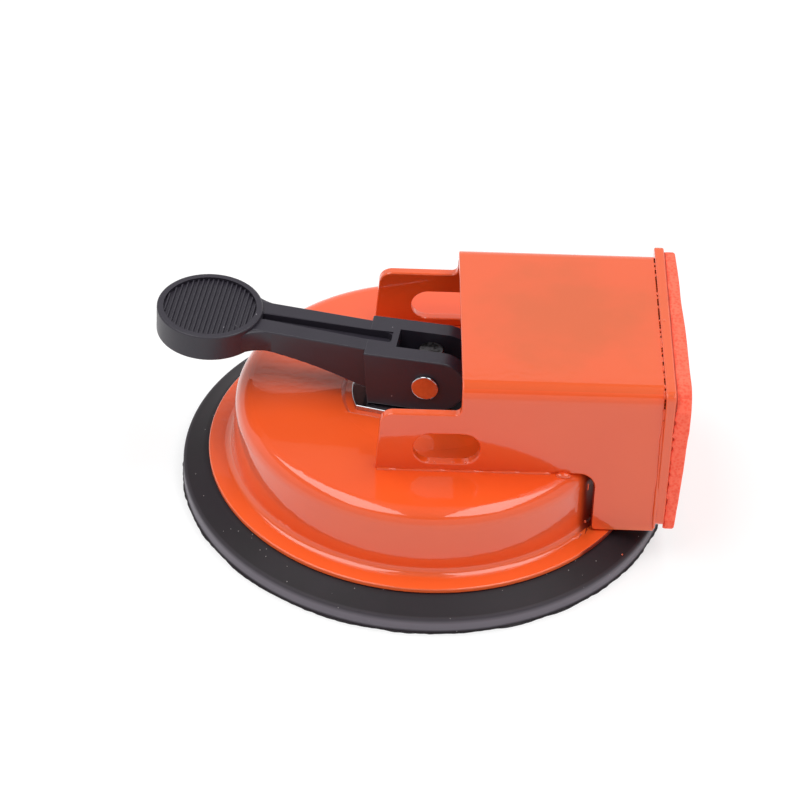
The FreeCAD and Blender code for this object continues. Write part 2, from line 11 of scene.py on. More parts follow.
import bmesh
import bpy
from bmesh.types import BMesh, BMFace, BMVert
from bpy.types import Material, Mesh, Node, NodeTree, Object
from mathutils import Matrix, Vector, noise

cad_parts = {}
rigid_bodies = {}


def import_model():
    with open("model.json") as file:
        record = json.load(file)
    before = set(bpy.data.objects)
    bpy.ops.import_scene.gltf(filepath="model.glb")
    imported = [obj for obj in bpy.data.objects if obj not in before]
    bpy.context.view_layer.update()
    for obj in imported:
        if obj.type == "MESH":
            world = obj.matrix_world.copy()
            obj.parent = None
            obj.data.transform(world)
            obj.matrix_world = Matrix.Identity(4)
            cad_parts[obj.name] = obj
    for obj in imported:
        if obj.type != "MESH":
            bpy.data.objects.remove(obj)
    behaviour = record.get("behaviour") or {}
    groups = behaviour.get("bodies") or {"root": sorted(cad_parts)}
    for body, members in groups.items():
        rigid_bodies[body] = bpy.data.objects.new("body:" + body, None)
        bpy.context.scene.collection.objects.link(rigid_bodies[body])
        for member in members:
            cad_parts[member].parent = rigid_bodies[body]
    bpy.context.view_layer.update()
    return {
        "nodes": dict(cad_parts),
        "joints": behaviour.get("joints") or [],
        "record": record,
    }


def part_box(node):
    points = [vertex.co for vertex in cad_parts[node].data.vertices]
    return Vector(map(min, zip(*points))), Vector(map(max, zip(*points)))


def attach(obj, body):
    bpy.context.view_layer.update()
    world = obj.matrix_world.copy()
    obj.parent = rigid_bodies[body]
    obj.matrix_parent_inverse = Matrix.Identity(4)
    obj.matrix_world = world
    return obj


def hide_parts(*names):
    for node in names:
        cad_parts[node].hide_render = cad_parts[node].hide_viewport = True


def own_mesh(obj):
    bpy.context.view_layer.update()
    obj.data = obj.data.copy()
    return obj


MM = 0.001
TINY = 1e-9
# A ball or bar that is one unit across
UNIT_RADIUS = 0.5
# Most of what a noise texture gives lies between these
NOISE_LOW, NOISE_HIGH = 0.35, 0.7
# Sockets that Blender tells apart by number: a colour Mix, a plain Mix and a Random Value
COLOUR_A, COLOUR_B, COLOUR_OUT = 6, 7, 2
VALUE_A, VALUE_B = 2, 3
RANDOM_LOW, RANDOM_HIGH, RANDOM_OUT, CHANCE_OUT = 2, 3, 1, 3
log = logging.getLogger("suction_cup_lifter")

Link = tuple[Node, str | int]


class Body(Enum):
    """The moving bodies of the lifter."""

    BASE = "base"
    LEVER = "lever"


class Slot(Enum):
    """The finishes that the record names."""

    RUBBER = "cup_rubber"
    PAINT = "orange_paint"
    BRIGHT = "bright_plate"
    STEEL = "plain_steel"
    PLASTIC = "black_plastic"
    TAPE = "tape"
    FOAM = "foam"


Dress = dict[Slot, Material]


def linear(code: str) -> tuple[float, float, float, float]:
    """Turn an sRGB hex colour into linear red, green, blue and alpha.

    Args:
        code: six hex digits.
    Returns:
        The linear colour, opaque.
    """
    parts = [int(code[i:i + 2], 16) / 255 for i in (0, 2, 4)]
    values = [p / 12.92 if p <= 0.04045 else ((p + 0.055) / 1.055) ** 2.4 for p in parts]
    return (*values, 1.0)


def per(size_mm: float) -> float:
    """Return the texture scale at which one cell of a pattern is so many millimetres wide."""
    return 1 / (size_mm * MM)


def span(start: float, end: float, low: float = 0.0, high: float = 1.0) -> dict[str, float]:
    """Return the sockets that map start to low and end to high."""
    return {"From Min": start, "From Max": end, "To Min": low, "To Max": high}


def feed(tree: NodeTree, node: Node, inputs: dict[str | int, object]) -> None:
    """Set the inputs of a node.

    Args:
        tree: the node tree.
        node: the node.
        inputs: for each socket its plain value, or the node and output that feed it.
    """
    for key, value in inputs.items():
        if isinstance(value, tuple) and isinstance(value[0], Node):
            tree.links.new(value[0].outputs[value[1]], node.inputs[key])
        else:
            node.inputs[key].default_value = value


def add(tree: NodeTree, kind: str, inputs: dict[str | int, object] | None = None,
        **settings: object) -> Node:
    """Add a node with its settings, socket values and incoming links.

    Args:
        tree: the node tree.
        kind: the node's type name.
        inputs: for each socket its plain value, or the node and output that feed it.
        settings: the node's own properties.
    Returns:
        The new node.
    """
    made = tree.nodes.new(kind)
    for key, value in settings.items():
        setattr(made, key, value)
    feed(tree, made, inputs or {})
    return made


def overlap(tree: NodeTree, *factors: Link) -> Link:
    """Find where several factors all hold.

    Args:
        tree: the node tree.
        factors: the factors.
    Returns:
        Their product.
    """
    both = factors[0]
    for factor in factors[1:]:
        both = add(tree, "ShaderNodeMath", {0: both, 1: factor}, operation="MULTIPLY"), "Value"
    return both


@dataclass(frozen=True)
class Pattern:
    """A soft random pattern: how wide its cells are, and how much finer detail it has."""

    cell_mm: float
    detail: float

    def sockets(self) -> dict[str, float]:
        """Return what the pattern sets on a noise texture."""
        return {"Scale": per(self.cell_mm), "Detail": self.detail}


@dataclass(frozen=True)
class Grain(Pattern):
    """A soft random pattern that stands out from a skin."""

    strength: float
    depth_mm: float

    def normal(self, tree: NodeTree, place: Link) -> Link:
        """Press the grain into a skin.

        Args:
            tree: the material's tree.
            place: the link to Object coordinates.
        Returns:
            The normal of the grained skin.
        """
        height = add(tree, "ShaderNodeTexNoise", {"Vector": place, **self.sockets()})
        bump = add(tree, "ShaderNodeBump", {
            "Height": (height, "Fac"), "Strength": self.strength, "Distance": self.depth_mm * MM})
        return bump, "Normal"


@dataclass(frozen=True)
class Specks:
    """Small round specks: the distance between their places, their radius as a share of it, and how many."""

    cell_mm: float
    reach: float
    share: float

    def scatter(self, tree: NodeTree, place: Link) -> Link:
        """Scatter the specks.

        Args:
            tree: the material's tree.
            place: the link to Object coordinates.
        Returns:
            A factor that is 1 on a speck and 0 elsewhere.
        """
        cells = add(tree, "ShaderNodeTexVoronoi", {"Vector": place, "Scale": per(self.cell_mm)})
        near = add(tree, "ShaderNodeMath", {0: (cells, "Distance"), 1: self.reach}, operation="LESS_THAN")
        pick = add(tree, "ShaderNodeSeparateColor", {"Color": (cells, "Color")})
        few = add(tree, "ShaderNodeMath", {0: (pick, "Red"), 1: self.share}, operation="LESS_THAN")
        return overlap(tree, (near, "Value"), (few, "Value"))


@dataclass(frozen=True)
class Finish:
    """A finish: what every surface of one material shares."""

    name: str
    slot: Slot
    colour: str
    roughness: float
    ior: float = 1.5

    def start(self) -> tuple[Material, NodeTree, Node, Link]:
        """Start the material with a plain shader.

        Returns:
            The material, its tree, its shader and the link to Object coordinates.
        """
        material = bpy.data.materials.new(self.name)
        material.use_nodes = True
        tree = material.node_tree
        tree.nodes.clear()
        shader = add(tree, "ShaderNodeBsdfPrincipled", {
            "Base Color": linear(self.colour), "Roughness": self.roughness, "IOR": self.ior})
        add(tree, "ShaderNodeOutputMaterial", {"Surface": (shader, "BSDF")})
        place = add(tree, "ShaderNodeTexCoord")
        material.diffuse_color = linear(self.colour)
        return material, tree, shader, (place, "Object")

    def layers(self, tree: NodeTree, *over: tuple[Link, str]) -> Link:
        """Lay other colours over the finish's own.

        Args:
            tree: the material's tree.
            over: for each layer a factor that says where it lies, and its colour.
        Returns:
            The colour that shows.
        """
        colour: object = linear(self.colour)
        for factor, other in over:
            mix = add(tree, "ShaderNodeMix", {
                "Factor": factor, COLOUR_A: colour, COLOUR_B: linear(other)}, data_type="RGBA")
            colour = mix, COLOUR_OUT
        return colour

    def build(self) -> Material:
        """Make the material.

        Returns:
            The material.
        """
        raise NotImplementedError


@dataclass(frozen=True)
class GlossPaint(Finish):
    """Sprayed gloss enamel on sheet steel: a deep orange under a clear, slightly wavy skin."""

    shade: str = "F45720"
    cloud: Pattern = Pattern(28.0, 2.0)
    # Painted light: below these heights the flange's orange is lighter and yellower
    flange_light: str = "FC662B"
    flange_light_from_mm: float = 11.2
    flange_light_to_mm: float = 13.8
    # Painted shade: the dome's flank behind the walls is darker, with no clear coat to reflect
    flank_shade: str = "8A2A1A"
    flank_shade_lean: float = 0.3
    flank_shade_from_mm: float = 44.6
    flank_shade_to_mm: float = 47.6
    flank_shade_end_mm: float = 66.0
    flank_shade_top_mm: float = 31.2
    # Painted shade: the bracket's upper faces are darker and browner, most at the middle of its top
    top_shade: str = "DB5A1C"
    top_shade_spot_mm: tuple[float, float, float] = (42.0, 2.0, 62.0)
    top_shade_core_mm: float = 6.0
    top_shade_reach_mm: float = 36.0
    top_shade_least: float = 0.4
    top_shade_cloud: Pattern = Pattern(16.0, 3.0)
    top_shade_stray_mm: float = 22.0
    top_shade_from_mm: float = 40.0
    top_shade_lean: float = 0.8
    peel: Grain = Grain(2.4, 1.5, 1.0, 0.012)
    coat_roughness: float = 0.05
    coat_ior: float = 1.62
    under_gloss: float = 0.2

    def build(self) -> Material:
        """Cloud the orange, with painted light on the flange and painted shade on the bracket's tops and on
        the dome's flank behind the walls.
        """
        material, tree, shader, place = self.start()
        cloud = add(tree, "ShaderNodeTexNoise", {"Vector": place, **self.cloud.sockets()})
        height = add(tree, "ShaderNodeSeparateXYZ", {"Vector": place})
        # Painted light: lighter orange low down on the flange
        low = add(tree, "ShaderNodeMapRange", {
            "Value": (height, "Z"), **span(self.flange_light_from_mm * MM, self.flange_light_to_mm * MM, 1.0, 0.0)})
        # Painted shade on the dome's flank behind the walls
        flank_shade = self.flank_shade_mask(tree, place)
        colour = self.layers(tree, ((cloud, "Fac"), self.shade), ((low, "Result"), self.flange_light),
                             (flank_shade, self.flank_shade), (self.top_shade_mask(tree, place), self.top_shade))
        # The painted shade also takes the clear coat away, and the flank's reflection with it
        gloss = add(tree, "ShaderNodeMath", {0: 1.0, 1: flank_shade}, operation="SUBTRACT")
        skin = self.peel.normal(tree, place)
        feed(tree, shader, {
            "Base Color": colour, "Normal": skin, "Coat Normal": skin, "Coat Weight": (gloss, "Value"),
            "Coat Roughness": self.coat_roughness, "Coat IOR": self.coat_ior,
            "Specular IOR Level": self.under_gloss})
        return material

    def top_shade_mask(self, tree: NodeTree, place: Link) -> Link:
        """Find the bracket's upper faces, where a painted shade makes them darker and browner, most at the
        middle of its top.

        Args:
            tree: the material's tree.
            place: the link to Object coordinates.
        Returns:
            A factor that says how much painted shade they take.
        """
        spot = add(tree, "ShaderNodeSeparateXYZ", {"Vector": place})
        skin = add(tree, "ShaderNodeNewGeometry")
        facing = add(tree, "ShaderNodeSeparateXYZ", {"Vector": (skin, "True Normal")})
        upward = add(tree, "ShaderNodeMath", {0: (facing, "Z"), 1: self.top_shade_lean},
                     operation="GREATER_THAN")
        above = add(tree, "ShaderNodeMath", {0: (spot, "Z"), 1: self.top_shade_from_mm * MM},
                    operation="GREATER_THAN")
        middle = tuple(v * MM for v in self.top_shade_spot_mm)
        away = add(tree, "ShaderNodeVectorMath", {0: place, 1: middle}, operation="DISTANCE")
        cloud = add(tree, "ShaderNodeTexNoise", {"Vector": place, **self.top_shade_cloud.sockets()})
        stray_m = self.top_shade_stray_mm * MM
        stray = add(tree, "ShaderNodeMapRange", {
            "Value": (cloud, "Fac"), **span(0.0, 1.0, -stray_m, stray_m)})
        bent = add(tree, "ShaderNodeMath", {0: (away, "Value"), 1: (stray, "Result")}, operation="ADD")
        reach = span(self.top_shade_core_mm * MM, self.top_shade_reach_mm * MM, 1.0, self.top_shade_least)
        painted_light = add(tree, "ShaderNodeMapRange", {"Value": (bent, "Value"), **reach},
                   interpolation_type="SMOOTHSTEP")
        return overlap(tree, (upward, "Value"), (above, "Value"), (painted_light, "Result"))

    def flank_shade_mask(self, tree: NodeTree, place: Link) -> Link:
        """Find the dome's flank behind the walls, where a painted shade darkens the orange and takes the
        clear coat away.

        Args:
            tree: the material's tree.
            place: the link to Object coordinates.
        Returns:
            A factor that rises to 1 there.
        """
        spot = add(tree, "ShaderNodeSeparateXYZ", {"Vector": place})
        skin = add(tree, "ShaderNodeNewGeometry")
        facing = add(tree, "ShaderNodeSeparateXYZ", {"Vector": (skin, "True Normal")})
        lean = add(tree, "ShaderNodeMath", {0: (facing, "X")}, operation="ABSOLUTE")
        turned = add(tree, "ShaderNodeMath", {0: (lean, "Value"), 1: self.flank_shade_lean},
                     operation="GREATER_THAN")
        below = add(tree, "ShaderNodeMath", {0: (spot, "Z"), 1: self.flank_shade_top_mm * MM},
                    operation="LESS_THAN")
        before = add(tree, "ShaderNodeMath", {0: (spot, "X"), 1: self.flank_shade_end_mm * MM},
                     operation="LESS_THAN")
        reach = add(tree, "ShaderNodeMapRange", {
            "Value": (spot, "X"), **span(self.flank_shade_from_mm * MM, self.flank_shade_to_mm * MM)},
            interpolation_type="SMOOTHSTEP")
        return overlap(tree, (below, "Value"), (before, "Value"), (turned, "Value"), (reach, "Result"))


@dataclass(frozen=True)
class MouldedRubber(Finish):
    """Black moulded rubber: a satin skin, with a painted sheen in lighter grey on the lip's outer side, and
    specks of dust.
    """

    bloom: str = "261C24"
    cloud: Pattern = Pattern(14.0, 4.0)
    # Painted sheen: the lip's outer side is lighter grey, from above the fin, fading out towards the lip's
    # top
    edge: str = "767079"
    side_sheen_from_mm: float = 3.5
    side_sheen_to_mm: float = 5.7
    fin_from_mm: float = 0.7
    fin_to_mm: float = 1.5
    dust: str = "96908F"
    specks: Specks = Specks(2.2, 0.075, 0.35)
    # Coarser than the mould's own grain of about 0.1 mm, which would not show
    grain: Grain = Grain(0.7, 3.0, 0.6, 0.02)

    def build(self) -> Material:
        """Cloud the black with bloom, scatter specks and give the skin a fine grain."""
        material, tree, shader, place = self.start()
        cloud = add(tree, "ShaderNodeTexNoise", {"Vector": place, **self.cloud.sockets()})
        height = add(tree, "ShaderNodeSeparateXYZ", {"Vector": place})
        # Painted sheen on the lip's outer side, between these heights
        low = add(tree, "ShaderNodeMapRange", {
            "Value": (height, "Z"), **span(self.side_sheen_from_mm * MM, self.side_sheen_to_mm * MM, 1.0, 0.0)})
        high = add(tree, "ShaderNodeMapRange", {
            "Value": (height, "Z"), **span(self.fin_from_mm * MM, self.fin_to_mm * MM)})
        painted_light = overlap(tree, (low, "Result"), (high, "Result"))
        dust = self.specks.scatter(tree, place)
        colour = self.layers(tree, ((cloud, "Fac"), self.bloom), (painted_light, self.edge), (dust, self.dust))
        feed(tree, shader, {"Base Color": colour, "Normal": self.grain.normal(tree, place)})
        return material


@dataclass(frozen=True)
class SatinPlastic(Finish):
    """Moulded black nylon: satin, with a fine spark-eroded grain and slightly uneven gloss."""

    flow: Pattern = Pattern(9.0, 3.0)
    dull: float = 0.46
    dust: str = "A39DA4"
    specks: Specks = Specks(3.0, 0.06, 0.3)
    # Coarser than the mould's own grain of about 0.1 mm, which would not show
    grain: Grain = Grain(0.55, 2.0, 0.5, 0.02)

    def build(self) -> Material:
        """Vary the gloss along the moulding, grain its skin and leave some dust on it."""
        material, tree, shader, place = self.start()
        flow = add(tree, "ShaderNodeTexNoise", {"Vector": place, **self.flow.sockets()})
        gloss = add(tree, "ShaderNodeMapRange", {
            "Value": (flow, "Fac"), **span(NOISE_LOW, NOISE_HIGH, self.roughness, self.dull)})
        feed(tree, shader, {
            "Base Color": self.layers(tree, (self.specks.scatter(tree, place), self.dust)),
            "Roughness": (gloss, "Result"), "Normal": self.grain.normal(tree, place)})
        return material


@dataclass(frozen=True)
class Metal(Finish):
    """Bare or plated steel: bright, with fine marks that blur its reflections, and stains."""

    dull: float = 0.2
    stain: str = "E6E6E8"
    patch: Pattern = Pattern(1.3, 3.0)
    patch_from: float = 0.4
    patch_to: float = 0.56
    # About twice as coarse as real turning marks, so that they show
    marks: Pattern = Pattern(1.6, 4.0)
    stretch: float = 6.0

    def build(self) -> Material:
        """Streak the gloss with fine turning marks and stain the metal in patches."""
        material, tree, shader, place = self.start()
        turned = add(tree, "ShaderNodeMapping", {"Vector": place, "Scale": (1.0, 1.0, self.stretch)})
        marks = add(tree, "ShaderNodeTexNoise", {"Vector": (turned, "Vector"), **self.marks.sockets()})
        gloss = add(tree, "ShaderNodeMapRange", {
            "Value": (marks, "Fac"), **span(NOISE_LOW, NOISE_HIGH, self.roughness, self.dull)})
        patch = add(tree, "ShaderNodeTexNoise", {"Vector": place, **self.patch.sockets()})
        share = add(tree, "ShaderNodeMapRange", {
            "Value": (patch, "Fac"), **span(self.patch_from, self.patch_to)})
        feed(tree, shader, {
            "Metallic": 1.0, "Base Color": self.layers(tree, ((share, "Result"), self.stain)),
            "Roughness": (gloss, "Result")})
        return material


@dataclass(frozen=True)
class Foam(Finish):
    """Fluorescent open-cell foam: matt, full of small pores, glowing a little in its own red."""

    # Painted shade: the bottoms of the pores are darker
    pore_shade: str = "E8452F"
    pore_shade_to: float = 0.32
    cell_mm: float = 0.9
    cell_depth_mm: float = 0.16
    cell_strength: float = 0.8
    rag: Pattern = Pattern(1.5, 4.0)
    glow: float = 0.17

    def build(self) -> Material:
        """Pit the surface with cells, with a painted shade darkening their bottoms."""
        material, tree, shader, place = self.start()
        cells = add(tree, "ShaderNodeTexVoronoi", {"Vector": place, "Scale": per(self.cell_mm)})
        ragged = add(tree, "ShaderNodeTexNoise", {"Vector": place, **self.rag.sockets()})
        pits = overlap(tree, (cells, "Distance"), (ragged, "Fac"))
        # Painted shade in the bottoms of the pits
        deep = add(tree, "ShaderNodeMapRange", {"Value": pits, **span(0.0, self.pore_shade_to, 1.0, 0.0)})
        bump = add(tree, "ShaderNodeBump", {
            "Height": pits, "Strength": self.cell_strength, "Distance": self.cell_depth_mm * MM})
        feed(tree, shader, {
            "Base Color": self.layers(tree, ((deep, "Result"), self.pore_shade)), "Normal": (bump, "Normal"),
            "Emission Color": linear(self.colour), "Emission Strength": self.glow})
        return material


@dataclass(frozen=True)
class Film(Finish):
    """Adhesive film between the foam and the plate: thin, translucent looking, slightly dirty."""

    dirt: str = "A23A28"
    patch: Pattern = Pattern(2.5, 4.0)

    def build(self) -> Material:
        """Dirty the film's edge in patches."""
        material, tree, shader, place = self.start()
        patch = add(tree, "ShaderNodeTexNoise", {"Vector": place, **self.patch.sockets()})
        feed(tree, shader, {"Base Color": self.layers(tree, ((patch, "Fac"), self.dirt))})
        return material


@dataclass(frozen=True)
class Shadow(Finish):
    """The dark inside of a small hole: black and quite matt, with hardly any shine."""

    shine: float = 0.1

    def build(self) -> Material:
        """Take nearly all shine away."""
        material, tree, shader, _ = self.start()
        feed(tree, shader, {"Specular IOR Level": self.shine})
        return material


FINISHES: tuple[Finish, ...] = (
    GlossPaint("gloss_enamel", Slot.PAINT, "F95F24", 0.3),
    MouldedRubber("moulded_rubber", Slot.RUBBER, "171316", 0.45, ior=1.32),
    SatinPlastic("satin_nylon", Slot.PLASTIC, "2E2A34", 0.34),
    Metal("bright_plating", Slot.BRIGHT, "C6C6CA", 0.06, dull=0.13, stain="BEBEC2"),
    Metal("turned_steel", Slot.STEEL, "625F62", 0.24, dull=0.4, stain="383536"),
    Foam("fluorescent_foam", Slot.FOAM, "FF6E55", 0.95),
    Film("adhesive_film", Slot.TAPE, "E0583C", 0.75),
)


def new_piece(name: str, mesh: Mesh) -> Object:
    """Link a mesh into the scene as an object at the origin.

    Args:
        name: the object's name.
        mesh: its mesh.
    Returns:
        The object.
    """
    piece = bpy.data.objects.new(name, mesh)
    bpy.context.scene.collection.objects.link(piece)
    return piece


def settle(piece: Object, body: Body, crease_deg: float) -> Object:
    """Shade a piece smoothly apart from its sharp edges, and fix it to its body.

    Args:
        piece: the piece.
        body: the body that it moves with.
        crease_deg: the angle from which an edge is sharp.
    Returns:
        The piece.
    """
    piece.data.shade_smooth()
    piece.data.set_sharp_from_angle(angle=math.radians(crease_deg))
    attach(piece, body.value)
    return piece


def solid(name: str, shape: BMesh, material: Material,
          turn: float = 0.0) -> Object:
    """Make a shape a piece, with its faces outwards.

    Args:
        name: the piece's name.
        shape: the shape, which is used up.
        material: what it is made of.
        turn: how far it is turned about the cup's axis.
    Returns:
        The piece.
    """
    bmesh.ops.recalc_face_normals(shape, faces=shape.faces)
    mesh = bpy.data.meshes.new(name)
    shape.to_mesh(mesh)
    shape.free()
    mesh.transform(Matrix.Rotation(turn, 4, "Z"))
    mesh.materials.append(material)
    return new_piece(name, mesh)


def loft(shape: BMesh, rows: Sequence[Sequence[BMVert]],
         closed: bool = False) -> list[BMFace]:
    """Span faces between neighbouring rows of points.

    Args:
        shape: the shape that gets the faces.
        rows: the rows, all of one length.
        closed: whether each row runs back to its start.
    Returns:
        The new faces.
    """
    faces = []
    count = len(rows[0])
    for lower, upper in zip(rows, rows[1:]):
        for i in range(count if closed else count - 1):
            j = (i + 1) % count
            faces.append(shape.faces.new((lower[i], lower[j], upper[j], upper[i])))
    return faces


def thicken(shape: BMesh, faces: list[BMFace], base_mm: float) -> None:
    """Give an upper surface sides and a flat underside.

    Args:
        shape: the shape that the surface is in.
        faces: the surface.
        base_mm: the height of the underside.
    """
    below = bmesh.ops.extrude_face_region(shape, geom=faces)
    for item in below["geom"]:
        if isinstance(item, BMVert):
            item.co.z = base_mm * MM


def grow(name: str, tree: NodeTree, values: dict[str, object],
         paths: Sequence[Sequence[Vector]] = ()) -> Object:
    """Run a Geometry Nodes tree once and keep the result as a plain mesh.

    Args:
        name: the piece's name.
        tree: the tree to run.
        values: what each of its named inputs is set to.
        paths: lines in millimetres that the tree starts from, if it takes any.
    Returns:
        The piece, at the origin, with no modifier.
    """
    start = bpy.data.meshes.new(name)
    points: list[Vector] = []
    edges: list[tuple[int, int]] = []
    for path in paths:
        edges += [(len(points) + i, len(points) + i + 1) for i in range(len(path) - 1)]
        points += [spot * MM for spot in path]
    start.from_pydata(points, edges, [])
    piece = new_piece(name, start)
    maker = piece.modifiers.new("maker", "NODES")
    maker.node_group = tree
    for item in tree.interface.items_tree:
        if item.in_out == "INPUT" and item.name in values:
            maker[item.identifier] = values[item.name]
    graph = bpy.context.evaluated_depsgraph_get()
    mesh = bpy.data.meshes.new_from_object(piece.evaluated_get(graph))
    piece.modifiers.clear()
    piece.data = mesh
    mesh.name = name
    return piece


def new_tree(name: str, **inputs: str) -> tuple[NodeTree, Node]:
    """Start a Geometry Nodes tree with named inputs and one geometry output.

    Args:
        name: the tree's name.
        inputs: the kind of socket for each named input.
    Returns:
        The tree and its input node.
    """
    tree = bpy.data.node_groups.new(name, "GeometryNodeTree")
    tree.interface.new_socket("Geometry", in_out="OUTPUT", socket_type="NodeSocketGeometry")
    for label, kind in inputs.items():
        tree.interface.new_socket(label, in_out="INPUT", socket_type=f"NodeSocket{kind}")
    return tree, add(tree, "NodeGroupInput")


def close_tree(tree: NodeTree, last: Link, material: Material) -> NodeTree:
    """End a tree in real geometry that carries its material.

    Args:
        tree: the tree.
        last: the link to the geometry.
        material: what it is made of.
    Returns:
        The tree.
    """
    real = add(tree, "GeometryNodeRealizeInstances", {"Geometry": last})
    dressed = add(tree, "GeometryNodeSetMaterial", {"Geometry": (real, "Geometry"), "Material": material})
    add(tree, "NodeGroupOutput", {"Geometry": (dressed, "Geometry")})
    return tree


class Piece:
    """A piece that the scene adds to the solids, or puts in the place of one."""

    def build(self, dress: Dress) -> Object:
        """Make the piece.

        Args:
            dress: the material of each slot.
        Returns:
            The piece.
        """
        raise NotImplementedError


class Grown(Piece):
    """A piece that grows from a Geometry Nodes tree."""

    def tree(self, material: Material) -> NodeTree:
        """Build the tree.

        Args:
            material: what the piece is made of.
        Returns:
            The tree.
        """
        raise NotImplementedError


@dataclass
class LeverPiece(Piece):
    """A piece of the lever, which at rest is turned by its yaw about the cup's axis."""

    yaw: float


@dataclass
class RubberCup(Piece):
    """The rubber cup: sealing ring, hollow, sloping top, and a thin ragged fin left by its mould."""

    radius_mm: float = 75.0
    fin_mm: float = 0.55
    # Distance out from the wall, height, and share of the fin's raggedness
    fin_points_mm: tuple[tuple[float, float, float], ...] = (
        (0.0, 0.0, 0.3), (0.55, 0.12, 1.0), (0.55, 0.42, 1.0), (0.05, 0.7, 0.2), (-0.1, 1.1, 0.0))
    # Distance out from the wall, and height
    lip_points_mm: tuple[tuple[float, float], ...] = (
        (-0.05, 2.75), (0.0, 4.7), (-0.12, 5.14), (-0.44, 5.42), (-0.8, 5.5))
    seat_radius_mm: float = 66.7
    # Distance out from the seat's edge, and height
    seat_points_mm: tuple[tuple[float, float], ...] = ((2.0, 8.25), (0.5, 8.88), (-0.6, 8.98))
    seat_mm: float = 8.98
    core_radius_mm: float = 34.0
    core_mm: float = 12.0
    core_run_mm: float = 10.0
    pocket_radius_mm: float = 6.4
    pocket_mm: float = 5.5
    ring_mm: float = 13.0
    hollow_run_mm: float = 12.0
    hollow_mm: float = 2.0
    steps: int = 720
    seed: float = 4.3
    rag_turns: float = 9.0
    nick_turns: float = 34.0
    nick_share: float = 0.6
    cut_mean: float = 0.45
    cut_swing: float = 0.8
    crease_deg: float = 40.0

    def section(self) -> list[tuple[float, float, float]]:
        """Draw the half section.

        Returns:
            Points as radius, height and how much of the fin's raggedness they take.
        """
        wall = self.radius_mm - self.fin_mm
        ring = self.radius_mm - self.ring_mm
        points = [(0.0, self.hollow_mm, 0.0), (ring - self.hollow_run_mm, self.hollow_mm, 0.0),
                  (ring, 0.0, 0.0)]
        points += [(wall + out, height, share) for out, height, share in self.fin_points_mm]
        points += [(wall + out, height, 0.0) for out, height in self.lip_points_mm]
        points += [(self.seat_radius_mm + out, height, 0.0) for out, height in self.seat_points_mm]
        return points + [
            (self.core_radius_mm + self.core_run_mm, self.seat_mm, 0.0),
            (self.core_radius_mm, self.core_mm, 0.0), (self.pocket_radius_mm, self.core_mm, 0.0),
            (self.pocket_radius_mm, self.pocket_mm, 0.0), (0.0, self.pocket_mm, 0.0)]

    def build(self, dress: Dress) -> Object:
        """Turn the section about the axis, with a ragged fin, and put it in the node's place."""
        shape = bmesh.new()
        section = self.section()
        rows = []
        for step in range(self.steps):
            angle = 2 * math.pi * step / self.steps
            way = Vector((math.cos(angle), math.sin(angle), 0))
            rag = noise.noise(way * self.rag_turns + Vector((0, 0, self.seed)))
            rag += self.nick_share * noise.noise(way * self.nick_turns)
            cut = self.fin_mm * min(max(self.cut_mean - self.cut_swing * rag, 0.0), 1.0)
            rows.append([shape.verts.new((way * (radius - cut * share) + Vector((0, 0, height))) * MM)
                         for radius, height, share in section[1:-1]])
        low, high = (shape.verts.new((0, 0, section[end][1] * MM)) for end in (0, -1))
        for here, there in zip(rows, rows[1:] + rows[:1]):
            shape.faces.new((low, there[0], here[0]))
            shape.faces.new((high, here[-1], there[-1]))
            for i in range(len(here) - 1):
                shape.faces.new((here[i], there[i], there[i + 1], here[i + 1]))
        piece = solid("cup_with_fin", shape, dress[Slot.RUBBER])
        settle(piece, Body.BASE, self.crease_deg)
        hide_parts("rubber_cup")
        return piece


